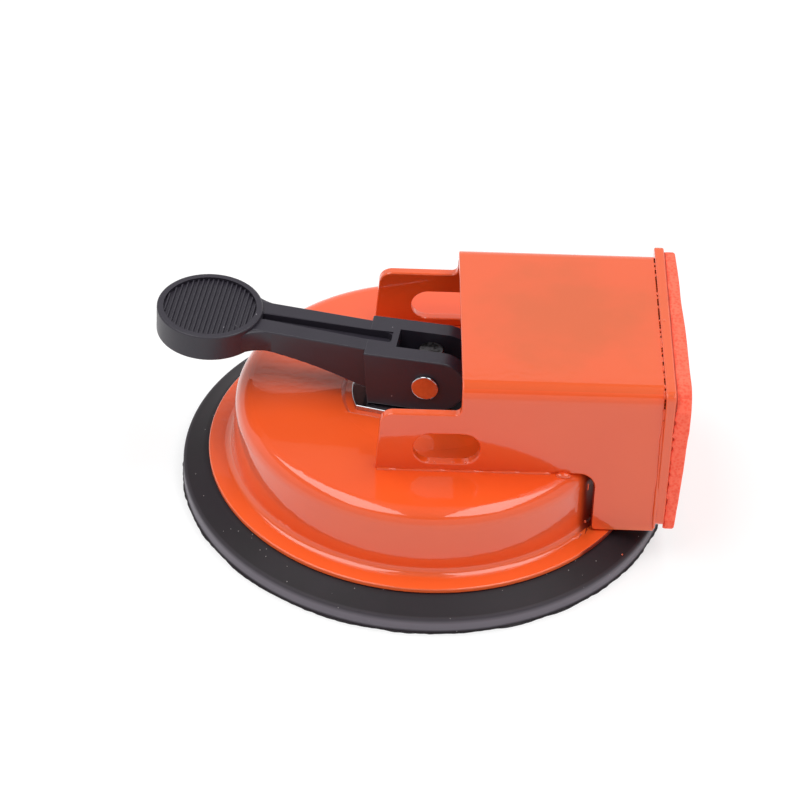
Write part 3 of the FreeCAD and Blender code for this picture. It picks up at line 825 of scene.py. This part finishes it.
@dataclass
class FoamPad(Piece):
    """The soft pad on the end plate: hand cut, thicker near its upper front corner."""

    cells: int = 64
    edge_mm: float = 1.1
    back_mm: float = 1.0
    near_corner_mm: float = 8.0
    far_corner_mm: float = 1.6
    bulge_mm: float = 1.1
    bulge_power: int = 4
    lower_mm: float = 2.2
    lower_power: int = 3
    wave_mm: float = 0.55
    wave_paces: tuple[float, float] = (3.1, 4.3)
    rim_power: int = 6
    side_pace: float = 1.7
    rise_pace: float = 1.3
    rise_shift: float = 5.0
    loose_pace: float = 2.9
    loose_shift: float = 3.0
    loose_mean: float = 0.5
    thin_low: float = 0.42
    thin_low_power: float = 1.5
    thin_far: float = 0.3
    thin_far_power: float = 1.3
    swell: float = 0.06
    swell_pace: float = 2.2
    seed: float = 11.7
    crease_deg: float = 60.0

    def rounded(self, spot: Vector, half: Vector) -> Vector:
        """Round a slab's edges, and its corners as seen from its front.

        Args:
            spot: a point of the slab, each coordinate from -1 to 1.
            half: half of the slab's size.
        Returns:
            Where the point lies from the slab's middle.
        """
        edge = self.edge_mm * MM
        core = Vector((half.x - edge, half.y - edge, half.z - edge))
        flat = Vector(spot[i] * half[i] for i in range(3))
        inner = Vector(max(-core[i], min(core[i], flat[i])) for i in range(3))
        away = flat - inner
        place = inner + away.normalized() * edge if away.length > TINY else flat
        corner = (self.near_corner_mm if spot.z > 0 > spot.y else self.far_corner_mm) * MM
        over = Vector((abs(place.y) - half.y + corner, abs(place.z) - half.z + corner))
        if min(over) > 0:
            turned = over.normalized() * max(over)
            place.y = math.copysign(half.y - corner + turned.x, place.y)
            place.z = math.copysign(half.z - corner + turned.y, place.z)
        return place

    def cut(self, spot: Vector, half: Vector) -> Vector:
        """Move a point of the slab to where the cut foam lies.

        Args:
            spot: the point, each coordinate from -1 to 1.
            half: half of the slab's size.
        Returns:
            Where the point lies from the slab's middle.
        """
        place = self.rounded(spot, half)
        up = (spot.z + 1) / 2
        near = (1 - spot.y) / 2
        thick = 1 - self.thin_low * (1 - up) ** self.thin_low_power
        thick -= self.thin_far * (1 - near) ** self.thin_far_power
        slow = Vector((self.seed, spot.y * self.swell_pace, spot.z * self.swell_pace))
        thick += self.swell * noise.noise(slow)
        along = (place.x + half.x) * min(thick, 1.0) - half.x
        ripple = Vector((0.0, spot.y * self.wave_paces[0] + self.seed, spot.z * self.wave_paces[1]))
        rim = max(abs(spot.y), abs(spot.z)) ** self.rim_power
        wave = self.wave_mm * MM * rim
        side = wave * noise.noise(ripple * self.side_pace) * math.copysign(1, spot.y)
        lift = noise.noise(ripple * self.rise_pace + Vector((self.rise_shift, 0, 0)))
        rise = wave * lift * math.copysign(1, spot.z)
        drop = self.lower_mm * MM * max(0.0, -spot.z) ** self.lower_power
        loose = self.loose_mean + noise.noise(ripple * self.loose_pace + Vector((0, self.loose_shift, 0)))
        back = self.back_mm * MM * rim * max(0.0, -spot.x) * min(max(loose, 0.0), 1.0)
        bulge = self.bulge_mm * MM * max(0.0, -spot.y) ** self.bulge_power
        bulge *= 1 - max(0.0, spot.z) ** self.bulge_power
        return Vector((along - back, place.y + side - bulge, place.z + rise - drop))

    def build(self, dress: Dress) -> Object:
        """Make the slab, cut it unevenly, and put it in the solid's place."""
        low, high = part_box("foam_pad")
        half, middle = (high - low) / 2, (high + low) / 2
        shape = bmesh.new()
        bmesh.ops.create_cube(shape, size=2.0)
        bmesh.ops.subdivide_edges(shape, edges=shape.edges[:], cuts=self.cells - 1, use_grid_fill=True)
        for vert in shape.verts:
            vert.co = middle + self.cut(vert.co.copy(), half)
        piece = solid("cut_foam_pad", shape, dress[Slot.FOAM])
        settle(piece, Body.BASE, self.crease_deg)
        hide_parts("foam_pad")
        return piece


@dataclass
class ReturnSpring(Grown):
    """The coil spring inside the dome, at rest; it is given the rod's travel but does not shorten with it."""

    travel_m: float
    radius_mm: float = 8.5
    wire_mm: float = 0.9
    turns: float = 4.0
    steps: int = 48
    sides: int = 12
    crease_deg: float = 60.0

    def tree(self, material: Material) -> NodeTree:
        """Build the tree: a round wire along a helix."""
        tree, given = new_tree("coil_spring", Radius="Float", Wire="Float", Height="Float", Turns="Float",
                               Steps="Int", Sides="Int")
        helix = add(tree, "GeometryNodeCurveSpiral", {
            "Resolution": (given, "Steps"), "Rotations": (given, "Turns"), "Start Radius": (given, "Radius"),
            "End Radius": (given, "Radius"), "Height": (given, "Height")})
        ring = add(tree, "GeometryNodeCurvePrimitiveCircle", {
            "Radius": (given, "Wire"), "Resolution": (given, "Sides")})
        wire = add(tree, "GeometryNodeCurveToMesh", {
            "Curve": (helix, "Curve"), "Profile Curve": (ring, "Curve"), "Fill Caps": True})
        return close_tree(tree, (wire, "Mesh"), material)

    def build(self, dress: Dress) -> Object:
        """Wind the spring between its seat and the dome."""
        low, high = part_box("return_spring")
        length, travel = high.z - low.z, self.travel_m
        wire = self.wire_mm * MM
        piece = grow("coil_spring", self.tree(dress[Slot.STEEL]), {
            "Radius": self.radius_mm * MM, "Wire": wire, "Height": length - 2 * wire, "Turns": self.turns,
            "Steps": self.steps, "Sides": self.sides})
        piece.data.transform(Matrix.Translation((0, 0, low.z + wire)))
        settle(piece, Body.BASE, self.crease_deg)
        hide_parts("return_spring")
        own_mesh(piece)
        return piece


@dataclass
class ThumbRibs(LeverPiece, Grown):
    """The grip ribs in the sunk face of the lever's thumb paddle."""

    count: int = 19
    pitch_mm: float = 1.48
    field_mm: float = 14.0
    width_mm: float = 0.86
    height_mm: float = 1.5
    reach_mm: float = 68.3
    floor_mm: float = 53.3
    bar_sides: int = 16
    bar_rings: int = 4
    crease_deg: float = 50.0

    def tree(self, material: Material) -> NodeTree:
        """Build the tree: a row of round bars, each as long as the face is wide there."""
        tree, given = new_tree("thumb_ribs", Count="Int", Pitch="Float", Field="Float", Width="Float",
                               Height="Float")
        less = add(tree, "ShaderNodeMath", {0: (given, "Count"), 1: 1.0}, operation="SUBTRACT")
        length = overlap(tree, (less, "Value"), (given, "Pitch"))
        first = add(tree, "ShaderNodeMath", {0: length, 1: -1 / 2}, operation="MULTIPLY")
        start = add(tree, "ShaderNodeCombineXYZ", {"X": (first, "Value")})
        step = add(tree, "ShaderNodeCombineXYZ", {"X": (given, "Pitch")})
        row = add(tree, "GeometryNodeMeshLine", {
            "Count": (given, "Count"), "Start Location": (start, "Vector"), "Offset": (step, "Vector")},
            mode="OFFSET")
        where = add(tree, "GeometryNodeInputPosition")
        split = add(tree, "ShaderNodeSeparateXYZ", {"Vector": (where, "Position")})
        across = overlap(tree, (split, "X"), (split, "X"))
        reach = overlap(tree, (given, "Field"), (given, "Field"))
        left = add(tree, "ShaderNodeMath", {0: reach, 1: across}, operation="SUBTRACT")
        half = add(tree, "ShaderNodeMath", {0: (left, "Value")}, operation="SQRT")
        chord = add(tree, "ShaderNodeMath", {0: (half, "Value"), 1: 2.0}, operation="MULTIPLY")
        size = add(tree, "ShaderNodeCombineXYZ", {
            "X": (given, "Width"), "Y": (chord, "Value"), "Z": (given, "Height")})
        bar = add(tree, "GeometryNodeMeshCylinder", {
            "Vertices": self.bar_sides, "Side Segments": self.bar_rings, "Radius": UNIT_RADIUS, "Depth": 1.0})
        lying = add(tree, "GeometryNodeTransform", {
            "Geometry": (bar, "Mesh"), "Rotation": (math.pi / 2, 0.0, 0.0)})
        ribs = add(tree, "GeometryNodeInstanceOnPoints", {
            "Points": (row, "Mesh"), "Instance": (lying, "Geometry"), "Scale": (size, "Vector")})
        return close_tree(tree, (ribs, "Instances"), material)

    def build(self, dress: Dress) -> Object:
        """Grow the ribs and lay them in the paddle's face."""
        piece = grow("thumb_ribs", self.tree(dress[Slot.PLASTIC]), {
            "Count": self.count, "Pitch": self.pitch_mm * MM, "Field": self.field_mm * MM,
            "Width": self.width_mm * MM, "Height": self.height_mm * MM})
        face = Matrix.Translation((-self.reach_mm * MM, 0, self.floor_mm * MM))
        piece.data.transform(Matrix.Rotation(self.yaw, 4, "Z") @ face)
        return settle(piece, Body.LEVER, self.crease_deg)


@dataclass
class NeckFlares(LeverPiece):
    """The hollow corners in which the lever's neck widens into the thumb paddle."""

    reach_mm: float = 68.3
    paddle_mm: float = 16.15
    half_mm: float = 7.35
    hollow_mm: float = 12.0
    sunk_mm: float = 0.5
    top_mm: float = 52.75
    top_rise: float = 0.051
    foot_mm: float = 45.3
    foot_rise: float = 0.07
    edge_mm: float = 0.5
    steps: int = 24
    crease_deg: float = 50.0

    def outline(self, inset: float) -> list[Vector]:
        """Return one corner's outline in plan.

        Args:
            inset: how far its hollow edge is set in, in millimetres.
        Returns:
            Points in millimetres from the pivot, along and across the lever.
        """
        across = self.half_mm + self.hollow_mm
        along = math.sqrt((self.paddle_mm + self.hollow_mm) ** 2 - across ** 2)
        centre = Vector((along - self.reach_mm, across))
        first, last = -math.pi / 2, math.atan2(-across, -along)
        points = []
        for step in range(self.steps + 1):
            angle = first + (last - first) * step / self.steps
            points.append(centre + (self.hollow_mm + inset) * Vector((math.cos(angle), math.sin(angle))))
        inner = self.half_mm - self.sunk_mm
        return points + [Vector((self.paddle_mm / 2 - self.reach_mm, inner)), Vector((centre.x, inner))]

    def levels(self) -> list[list[Vector]]:
        """Lay out one corner from its foot to its top, with softened edges.

        Returns:
            The outline at each level, in millimetres.
        """
        edge = self.edge_mm
        start = self.outline(0.0)[0].x
        foot, top = (self.foot_mm, self.foot_rise), (self.top_mm, self.top_rise)
        rows = []
        for (base, slope), lift, inset in ((foot, 0.0, edge), (foot, edge, 0.0), (top, -edge, 0.0),
                                           (top, -edge / 3, edge / 3), (top, 0.0, edge)):
            rows.append([Vector((spot.x, spot.y, base + slope * (start - spot.x) + lift))
                         for spot in self.outline(inset)])
        return rows

    def build(self, dress: Dress) -> Object:
        """Loft both corners and set them on the lever."""
        shape = bmesh.new()
        for side in (1, -1):
            rows = [[shape.verts.new(Vector((v.x, side * v.y, v.z)) * MM) for v in row]
                    for row in self.levels()]
            shape.faces.new(rows[0])
            shape.faces.new(rows[-1])
            loft(shape, rows, closed=True)
        piece = solid("neck_flares", shape, dress[Slot.PLASTIC], self.yaw)
        return settle(piece, Body.LEVER, self.crease_deg)


@dataclass
class GrooveBed(LeverPiece):
    """The bed of the groove along the lever's neck: shallow and narrow at the paddle, round at the fork."""

    root_mm: float = 12.1
    tip_mm: float = 52.2
    root_width_mm: float = 5.2
    tip_width_mm: float = 3.4
    tip_inner_mm: float = 2.7
    top_mm: float = 51.05
    top_rise: float = 0.051
    base_mm: float = 48.4
    root_depth_mm: float = 2.58
    tip_depth_mm: float = 2.2
    round_mm: float = 2.2
    curl_mm: float = 0.15
    curl_power: int = 4
    sunk_mm: float = 0.06
    end_steps: int = 12
    steps: int = 24
    across: int = 10
    crease_deg: float = 50.0

    def stations(self) -> list[float]:
        """Space out the bed's cross sections, closer together where its end is round.

        Returns:
            Distances from the groove's fork end, in millimetres.
        """
        turn = math.pi / 2 / self.end_steps
        end = [self.round_mm * (1 - math.cos(turn * i)) for i in range(self.end_steps)]
        run = self.tip_mm - self.root_mm - self.round_mm
        return end + [self.round_mm + run * i / self.steps for i in range(self.steps + 1)]

    def surface(self) -> list[list[Vector]]:
        """Shape the bed's upper surface.

        Returns:
            Rows of points across the groove, in millimetres from the pivot's axis.
        """
        sides = [2 * i / self.across - 1 for i in range(self.across + 1)]
        rows = []
        for gone in self.stations():
            share = gone / (self.tip_mm - self.root_mm)
            outer = (self.root_width_mm + (self.tip_width_mm - self.root_width_mm) * share) / 2 + self.sunk_mm
            inner = (self.root_width_mm + (self.tip_inner_mm - self.root_width_mm) * share) / 2
            left = max(self.round_mm - gone, 0.0)
            inner += math.sqrt(self.round_mm ** 2 - left ** 2) - self.round_mm
            depth = self.root_depth_mm + (self.tip_depth_mm - self.root_depth_mm) * share
            along, top = -self.root_mm - gone, self.top_mm + self.top_rise * gone - self.sunk_mm
            bed = [Vector((along, inner * side, top - depth + self.curl_mm * side ** self.curl_power))
                   for side in sides]
            rows.append([Vector((along, -outer, top)), Vector((along, -inner, top)), *bed,
                         Vector((along, inner, top)), Vector((along, outer, top))])
        return rows

    def build(self, dress: Dress) -> Object:
        """Lay the bed in the groove."""
        shape = bmesh.new()
        rows = [[shape.verts.new(spot * MM) for spot in row] for row in self.surface()]
        thicken(shape, loft(shape, rows), self.base_mm)
        piece = solid("groove_bed", shape, dress[Slot.PLASTIC], self.yaw)
        return settle(piece, Body.LEVER, self.crease_deg)


@dataclass
class SeatEdges(Piece):
    """The straight soft edges of the sunk seat, which follow the wear plate's two flats."""

    yaw_deg: float = -15.0
    across_mm: float = 15.6
    run_mm: float = 1.8
    reach_mm: float = 27.6
    top_mm: float = 31.92
    foot_mm: float = 30.86
    base_mm: float = 30.6
    merge_mm: float = 0.0018
    rows: int = 8
    steps: int = 40
    crease_deg: float = 40.0

    def surface(self) -> list[list[Vector]]:
        """Shape the upper surface.

        Returns:
            Rows of points in millimetres, from the slope's foot out to the seat's round edge.
        """
        grid = []
        for row in range(self.rows + 1):
            share = row / self.rows
            across = self.across_mm + self.run_mm * (share - 0.5)
            height = self.foot_mm + (self.top_mm - self.foot_mm) * (1 - math.cos(math.pi * share)) / 2
            half = math.sqrt(self.reach_mm ** 2 - across ** 2)
            grid.append([Vector((half * (2 * i / self.steps - 1), across, height))
                         for i in range(self.steps + 1)])
        start, end = grid[-1][0], grid[-1][-1]
        first, last = math.atan2(start.y, start.x), math.atan2(end.y, end.x)
        inner = grid[-1][1:-1]
        rim = []
        for i in range(1, self.steps):
            angle = first + (last - first) * i / self.steps
            way = self.reach_mm * Vector((math.cos(angle), math.sin(angle)))
            rim.append(Vector((way.x, way.y, self.top_mm)))
        between = [(a + b) / 2 for a, b in zip(inner, rim)]
        return grid + [[start, *between, end], [start, *rim, end]]

    def build(self, dress: Dress) -> Object:
        """Fill the seat beside both flats, flush with the dome's top."""
        shape = bmesh.new()
        for turn in (0.0, 180.0):
            place = Matrix.Scale(MM, 4) @ Matrix.Rotation(math.radians(self.yaw_deg + turn), 4, "Z")
            rows = [[shape.verts.new(place @ spot) for spot in row] for row in self.surface()]
            faces = loft(shape, rows)
            bmesh.ops.remove_doubles(shape, verts=shape.verts, dist=self.merge_mm * MM)
            thicken(shape, [face for face in faces if face.is_valid], self.base_mm)
        piece = solid("seat_edges", shape, dress[Slot.PAINT])
        return settle(piece, Body.BASE, self.crease_deg)


@dataclass
class SeamDrops(Grown):
    """A row of long drops on the seam between the channel and the end plate.

    The first row takes a random share of the places, and a row of the others takes the rest.
    """

    name: str
    size_mm: tuple[float, float]
    lift_mm: float = 0.0
    others: bool = False
    finish: Finish | None = None
    count: int = 66
    half_mm: float = 31.0
    end_mm: float = 68.28
    top_mm: float = 61.95
    bend_mm: float = 5.0
    bend_steps: int = 12
    down_mm: float = 4.0
    lean: float = 0.04
    length_range: tuple[float, float] = (0.45, 1.3)
    segments: int = 10
    rings: int = 6
    kept: float = 0.4
    seed: int = 3
    crease_deg: float = 60.0

    def path(self) -> list[Vector]:
        """Run across the channel's top, round its near bend and a little way down its wall.

        Returns:
            The path's points, in millimetres.
        """
        bend = self.bend_mm + self.lift_mm
        points = [Vector((self.end_mm, self.half_mm, self.top_mm + self.lift_mm))]
        for step in range(self.bend_steps + 1):
            angle = math.pi / 2 * step / self.bend_steps
            points.append(Vector((self.end_mm, -self.half_mm - bend * math.sin(angle),
                                  self.top_mm - self.bend_mm + bend * math.cos(angle))))
        return points + [points[-1] - Vector((0, self.lean * self.down_mm, self.down_mm))]

    def tree(self, material: Material) -> NodeTree:
        """Build the tree: a row of long drops along the path, of which a random share is kept."""
        tree, given = new_tree("end_seam", Geometry="Geometry", Count="Int", Width="Float", Length="Float",
                               Kept="Float", Others="Bool", Seed="Int")
        line = add(tree, "GeometryNodeMeshToCurve", {"Mesh": (given, "Geometry")})
        row = add(tree, "GeometryNodeCurveToPoints", {"Curve": (line, "Curve"), "Count": (given, "Count")})
        keep = add(tree, "FunctionNodeRandomValue", {"Probability": (given, "Kept"), "Seed": (given, "Seed")},
                   data_type="BOOLEAN")
        pick = add(tree, "FunctionNodeBooleanMath", {0: (keep, CHANCE_OUT), 1: (given, "Others")},
                   operation="XOR")
        shortest, longest = self.length_range
        vary = add(tree, "FunctionNodeRandomValue", {
            "Seed": (given, "Seed"), RANDOM_LOW: shortest, RANDOM_HIGH: longest}, data_type="FLOAT")
        size = add(tree, "ShaderNodeCombineXYZ", {
            "X": (given, "Width"), "Y": (given, "Width"),
            "Z": overlap(tree, (given, "Length"), (vary, RANDOM_OUT))})
        drop = add(tree, "GeometryNodeMeshUVSphere", {
            "Segments": self.segments, "Rings": self.rings, "Radius": UNIT_RADIUS})
        drops = add(tree, "GeometryNodeInstanceOnPoints", {
            "Points": (row, "Points"), "Selection": (pick, "Boolean"), "Instance": (drop, "Mesh"),
            "Rotation": (row, "Rotation"), "Scale": (size, "Vector")})
        return close_tree(tree, (drops, "Instances"), material)

    def build(self, dress: Dress) -> Object:
        """Grow the row, in the paint unless it has a finish of its own."""
        material = self.finish.build() if self.finish else dress[Slot.PAINT]
        width, length = self.size_mm
        piece = grow(self.name, self.tree(material), {
            "Count": self.count, "Width": width * MM, "Length": length * MM, "Kept": self.kept,
            "Others": self.others, "Seed": self.seed}, [self.path()])
        return settle(piece, Body.BASE, self.crease_deg)


@dataclass
class PaintBeads(Grown):
    """Uneven beads of sealer and paint along the walls' feet and along the end plate's corners."""

    foot_start_mm: float = -16.0
    foot_end_mm: float = 36.0
    foot_side_mm: float = 37.05
    foot_top_mm: float = 31.9
    end_mm: float = 68.25
    seam_top_mm: float = 56.5
    seam_foot_mm: float = 12.6
    seam_side_mm: float = 36.1
    seam_splay_mm: float = 1.75
    bead_mm: float = 0.55
    wave_mm: float = 7.0
    wave_detail: float = 3.0
    wave_range: tuple[float, float] = (0.3, 0.7)
    thick_range: tuple[float, float] = (0.55, 1.25)
    points: int = 140
    sides: int = 12
    crease_deg: float = 60.0

    def paths(self) -> list[list[Vector]]:
        """Lay out the lines that the beads follow.

        Returns:
            Both walls' feet and both upright corners, in millimetres.
        """
        lines = []
        for side in (-1, 1):
            foot = side * self.foot_side_mm
            lines.append([Vector((along, foot, self.foot_top_mm))
                          for along in (self.foot_start_mm, self.foot_end_mm)])
            high, low = side * self.seam_side_mm, side * (self.seam_side_mm + self.seam_splay_mm)
            lines.append([Vector((self.end_mm, high, self.seam_top_mm)),
                          Vector((self.end_mm, low, self.seam_foot_mm))])
        return lines

    def tree(self, material: Material) -> NodeTree:
        """Build the tree: a bead of wandering thickness along every line."""
        tree, given = new_tree("paint_beads", Geometry="Geometry", Points="Int", Bead="Float", Wave="Float")
        line = add(tree, "GeometryNodeMeshToCurve", {"Mesh": (given, "Geometry")})
        fine = add(tree, "GeometryNodeResampleCurve", {"Curve": (line, "Curve"), "Count": (given, "Points")})
        where = add(tree, "GeometryNodeInputPosition")
        wander = add(tree, "ShaderNodeTexNoise", {
            "Vector": (where, "Position"), "Scale": (given, "Wave"), "Detail": self.wave_detail})
        share = add(tree, "ShaderNodeMapRange", {
            "Value": (wander, "Fac"), **span(*self.wave_range, *self.thick_range)})
        ring = add(tree, "GeometryNodeCurvePrimitiveCircle", {"Resolution": self.sides, "Radius": 1.0})
        bead = add(tree, "GeometryNodeCurveToMesh", {
            "Curve": (fine, "Curve"), "Profile Curve": (ring, "Curve"), "Fill Caps": True,
            "Scale": overlap(tree, (share, "Result"), (given, "Bead"))})
        return close_tree(tree, (bead, "Mesh"), material)

    def build(self, dress: Dress) -> Object:
        """Grow the beads."""
        piece = grow("paint_beads", self.tree(dress[Slot.PAINT]), {
            "Points": self.points, "Bead": self.bead_mm * MM, "Wave": per(self.wave_mm)}, self.paths())
        return settle(piece, Body.BASE, self.crease_deg)


@dataclass
class PaintDrops(Piece):
    """Single drops and runs of paint left on the walls' edges and, once, on the rubber."""

    # The place of each drop's middle, and its size
    drops_mm: tuple[tuple[tuple[float, float, float], tuple[float, float, float]], ...] = (
        ((39.8, -37.8, 31.9), (4.8, 2.2, 1.9)),
        ((47.55, -37.6, 27.6), (0.7, 0.7, 2.6)),
        ((47.5, -37.9, 14.4), (0.9, 0.8, 1.1)),
        ((-1.0, -36.3, 34.7), (1.1, 0.8, 0.5)),
        ((1.2, -36.4, 34.7), (0.8, 0.7, 0.45)),
        ((6.8, -36.3, 34.7), (1.3, 0.7, 0.5)),
        ((10.4, -36.4, 34.8), (0.9, 0.8, 0.5)),
        ((69.6, -0.7, 63.0), (1.0, 1.2, 0.4)),
        ((59.1, -43.0, 6.05), (0.7, 0.6, 0.5)),
    )
    segments: int = 20
    rings: int = 12
    crease_deg: float = 60.0

    def build(self, dress: Dress) -> Object:
        """Make every drop as a flattened ball."""
        shape = bmesh.new()
        for place, size in self.drops_mm:
            spread = Matrix.Scale(MM, 4) @ Matrix.Translation(place) @ Matrix.Diagonal(Vector((*size, 1.0)))
            bmesh.ops.create_uvsphere(shape, u_segments=self.segments, v_segments=self.rings,
                                      radius=UNIT_RADIUS, matrix=spread)
        piece = solid("paint_drops", shape, dress[Slot.PAINT])
        return settle(piece, Body.BASE, self.crease_deg)


@dataclass
class Camera:
    """The camera at the photograph's viewing angle, fitted to the cup's ellipses and the channel."""

    focal_px: float = 4371.16
    frame_px: float = 800.0
    sensor_mm: float = 36.0
    azimuth_deg: float = -2.23
    elevation_deg: float = 38.49
    roll_deg: float = 3.05
    distance_mm: float = 1335.28
    target_mm: tuple[float, float, float] = (-8.64, 0.0, 28.89)

    def build(self) -> Object:
        """Place the camera and make it the scene's.

        Returns:
            The camera.
        """
        azimuth, elevation, roll = map(math.radians, (self.azimuth_deg, self.elevation_deg, self.roll_deg))
        back = Vector((math.sin(azimuth) * math.cos(elevation), -math.cos(azimuth) * math.cos(elevation),
                       math.sin(elevation)))
        right = (-back).cross(Vector((0, 0, 1))).normalized()
        up = right.cross(-back)
        turned_right = math.cos(roll) * right + math.sin(roll) * up
        turned_up = -math.sin(roll) * right + math.cos(roll) * up
        data = bpy.data.cameras.new("camera")
        data.sensor_width = self.sensor_mm
        data.lens = self.focal_px * self.sensor_mm / self.frame_px
        camera = bpy.data.objects.new("camera", data)
        place = Matrix((turned_right, turned_up, back)).transposed().to_4x4()
        place.translation = (Vector(self.target_mm) + back * self.distance_mm) * MM
        camera.matrix_world = place
        bpy.context.scene.collection.objects.link(camera)
        bpy.context.scene.camera = camera
        return camera


@dataclass
class Softbox:
    """One wide soft lamp on the ceiling, facing down."""

    name: str
    place_m: tuple[float, float, float]
    size_m: tuple[float, float]
    radiance: float

    def build(self) -> Object:
        """Hang the lamp.

        Returns:
            The lamp.
        """
        data = bpy.data.lights.new(self.name, "AREA")
        data.shape = "RECTANGLE"
        data.size, data.size_y = self.size_m
        data.energy = self.radiance * math.pi * self.size_m[0] * self.size_m[1]
        lamp = bpy.data.objects.new(self.name, data)
        lamp.location = self.place_m
        bpy.context.scene.collection.objects.link(lamp)
        return lamp


@dataclass
class Studio:
    """A white floor before a bright backdrop, under two wide lamps with a dark gap between them."""

    floor_m: float = 8.0
    floor_white: float = 0.9
    shown_share: float = 0.62
    shade_share: float = 0.42
    backdrop: float = 1.15
    ceiling: float = 0.28
    front: float = 0.38
    edge_from_deg: float = 38.1
    edge_to_deg: float = 38.8
    front_from: float = -0.3
    front_to: float = 0.5
    lamps: tuple[Softbox, ...] = (
        Softbox("left_softbox", (-0.66, -0.1, 1.5), (0.85, 1.8), 3.25),
        Softbox("right_softbox", (0.66, -0.1, 1.5), (0.85, 1.8), 3.25),
    )

    def seen(self, tree: NodeTree) -> Link:
        """Find the rays from the camera, in reflections and through glass.

        Args:
            tree: the tree of the floor's material or of the world.
        Returns:
            A factor that is 1 on them.
        """
        path = add(tree, "ShaderNodeLightPath")
        direct = add(tree, "ShaderNodeMath", {0: (path, "Is Camera Ray"), 1: (path, "Is Glossy Ray")},
                     operation="MAXIMUM")
        all_three = add(tree, "ShaderNodeMath", {0: (direct, "Value"), 1: (path, "Is Transmission Ray")},
                        operation="MAXIMUM")
        return all_three, "Value"

    def build_floor(self) -> Object:
        """Lay the floor: white where it is seen, keeping a soft shadow.

        Returns:
            The floor.
        """
        material = bpy.data.materials.new("white_floor")
        material.use_nodes = True
        tree = material.node_tree
        tree.nodes.clear()
        plain, shade = (add(tree, "ShaderNodeBsdfDiffuse", {"Color": (white, white, white, 1.0)})
                        for white in (self.floor_white, self.shade_share))
        glow = add(tree, "ShaderNodeEmission", {"Strength": self.shown_share})
        shown = add(tree, "ShaderNodeAddShader", {0: (shade, "BSDF"), 1: (glow, "Emission")})
        mix = add(tree, "ShaderNodeMixShader", {
            0: self.seen(tree), 1: (plain, "BSDF"), 2: (shown, "Shader")})
        add(tree, "ShaderNodeOutputMaterial", {"Surface": (mix, "Shader")})
        mesh = bpy.data.meshes.new("floor")
        half = self.floor_m / 2
        corners = [(-half, -half, 0), (half, -half, 0), (half, half, 0), (-half, half, 0)]
        mesh.from_pydata(corners, [], [(0, 1, 2, 3)])
        mesh.materials.append(material)
        floor = new_piece("floor", mesh)
        return floor

    def build_surround(self) -> None:
        """Make the surround: a bright backdrop up to its top edge, a dim ceiling and a dimmer front."""
        world = bpy.data.worlds.new("surround")
        world.use_nodes = True
        tree = world.node_tree
        tree.nodes.clear()
        way = add(tree, "ShaderNodeTexCoord")
        split = add(tree, "ShaderNodeSeparateXYZ", {"Vector": (way, "Generated")})
        edge = [math.sin(math.radians(angle)) for angle in (self.edge_from_deg, self.edge_to_deg)]
        level, shown = (add(tree, "ShaderNodeMapRange", {
            "Value": (split, "Z"), **span(*edge, white, self.ceiling)}, interpolation_type="SMOOTHSTEP")
            for white in (self.backdrop, 1.0))
        side = add(tree, "ShaderNodeMapRange", {
            "Value": (split, "Y"), **span(self.front_from, self.front_to, self.front, 1.0)},
            interpolation_type="SMOOTHSTEP")
        light = add(tree, "ShaderNodeMix", {
            "Factor": self.seen(tree), VALUE_A: overlap(tree, (level, "Result"), (side, "Result")),
            VALUE_B: (shown, "Result")}, data_type="FLOAT")
        back = add(tree, "ShaderNodeBackground", {"Strength": (light, "Result")})
        add(tree, "ShaderNodeOutputWorld", {"Surface": (back, "Background")})
        bpy.context.scene.world = world

    def build(self) -> None:
        """Set up floor, surround and lamps."""
        self.build_floor()
        self.build_surround()
        for lamp in self.lamps:
            lamp.build()


def dress_nodes(frame: dict, dress: Dress) -> None:
    """Give every node of the frame the material of its slot.

    Args:
        frame: the loaded frame.
        dress: the material of each slot.
    """
    for row in frame["record"]["subparts"]:
        node = frame["nodes"][row["node"]]
        node.data.materials.clear()
        node.data.materials.append(dress[Slot(row["material_slot"])])
        log.info("dressed %s in %s", row["node"], row["material_slot"])


def lever_yaw(frame: dict) -> float:
    """Return the lever's turn about the cup's axis at rest, from the axis of its hinge."""
    joint = next(j for j in frame["joints"] if j["name"] == "lever_turn")
    return -math.atan2(joint["axis"][0], joint["axis"][1])


def rod_travel(frame: dict) -> float:
    """Return how far the rod is drawn up, in metres."""
    joint = next(j for j in frame["joints"] if j["name"] == "rod_lift")
    return joint["range_m"][1]


def main() -> None:
    """Build the scene: frame, finishes, pieces, studio and camera, logging each piece's faces."""
    logging.basicConfig(level=logging.INFO, format="%(name)s: %(message)s")
    for item in list(bpy.data.objects):
        bpy.data.objects.remove(item)
    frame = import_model()
    bpy.context.scene.view_settings.view_transform = "Standard"
    dress = {finish.slot: finish.build() for finish in FINISHES}
    dress_nodes(frame, dress)
    yaw = lever_yaw(frame)
    # Painted shade: dark drops stand for the shade inside pinholes in the seam's paint
    pinhole_shade = Shadow("pinhole_shadow", Slot.PAINT, "3A0F08", 0.9)
    makers: tuple[Piece, ...] = (
        RubberCup(), FoamPad(), ReturnSpring(rod_travel(frame)), ThumbRibs(yaw), NeckFlares(yaw),
        GrooveBed(yaw), SeatEdges(),
        SeamDrops("seam_pinholes", (0.38, 0.9), lift_mm=0.24, others=True, finish=pinhole_shade),
        SeamDrops("seam_paint", (0.75, 1.5)), PaintBeads(), PaintDrops(),
    )
    for maker in makers:
        piece = maker.build(dress)
        log.info("made %s with %d faces", piece.name, len(piece.data.polygons))
    Camera().build()
    Studio().build()


if __name__ == "__main__":
    main()
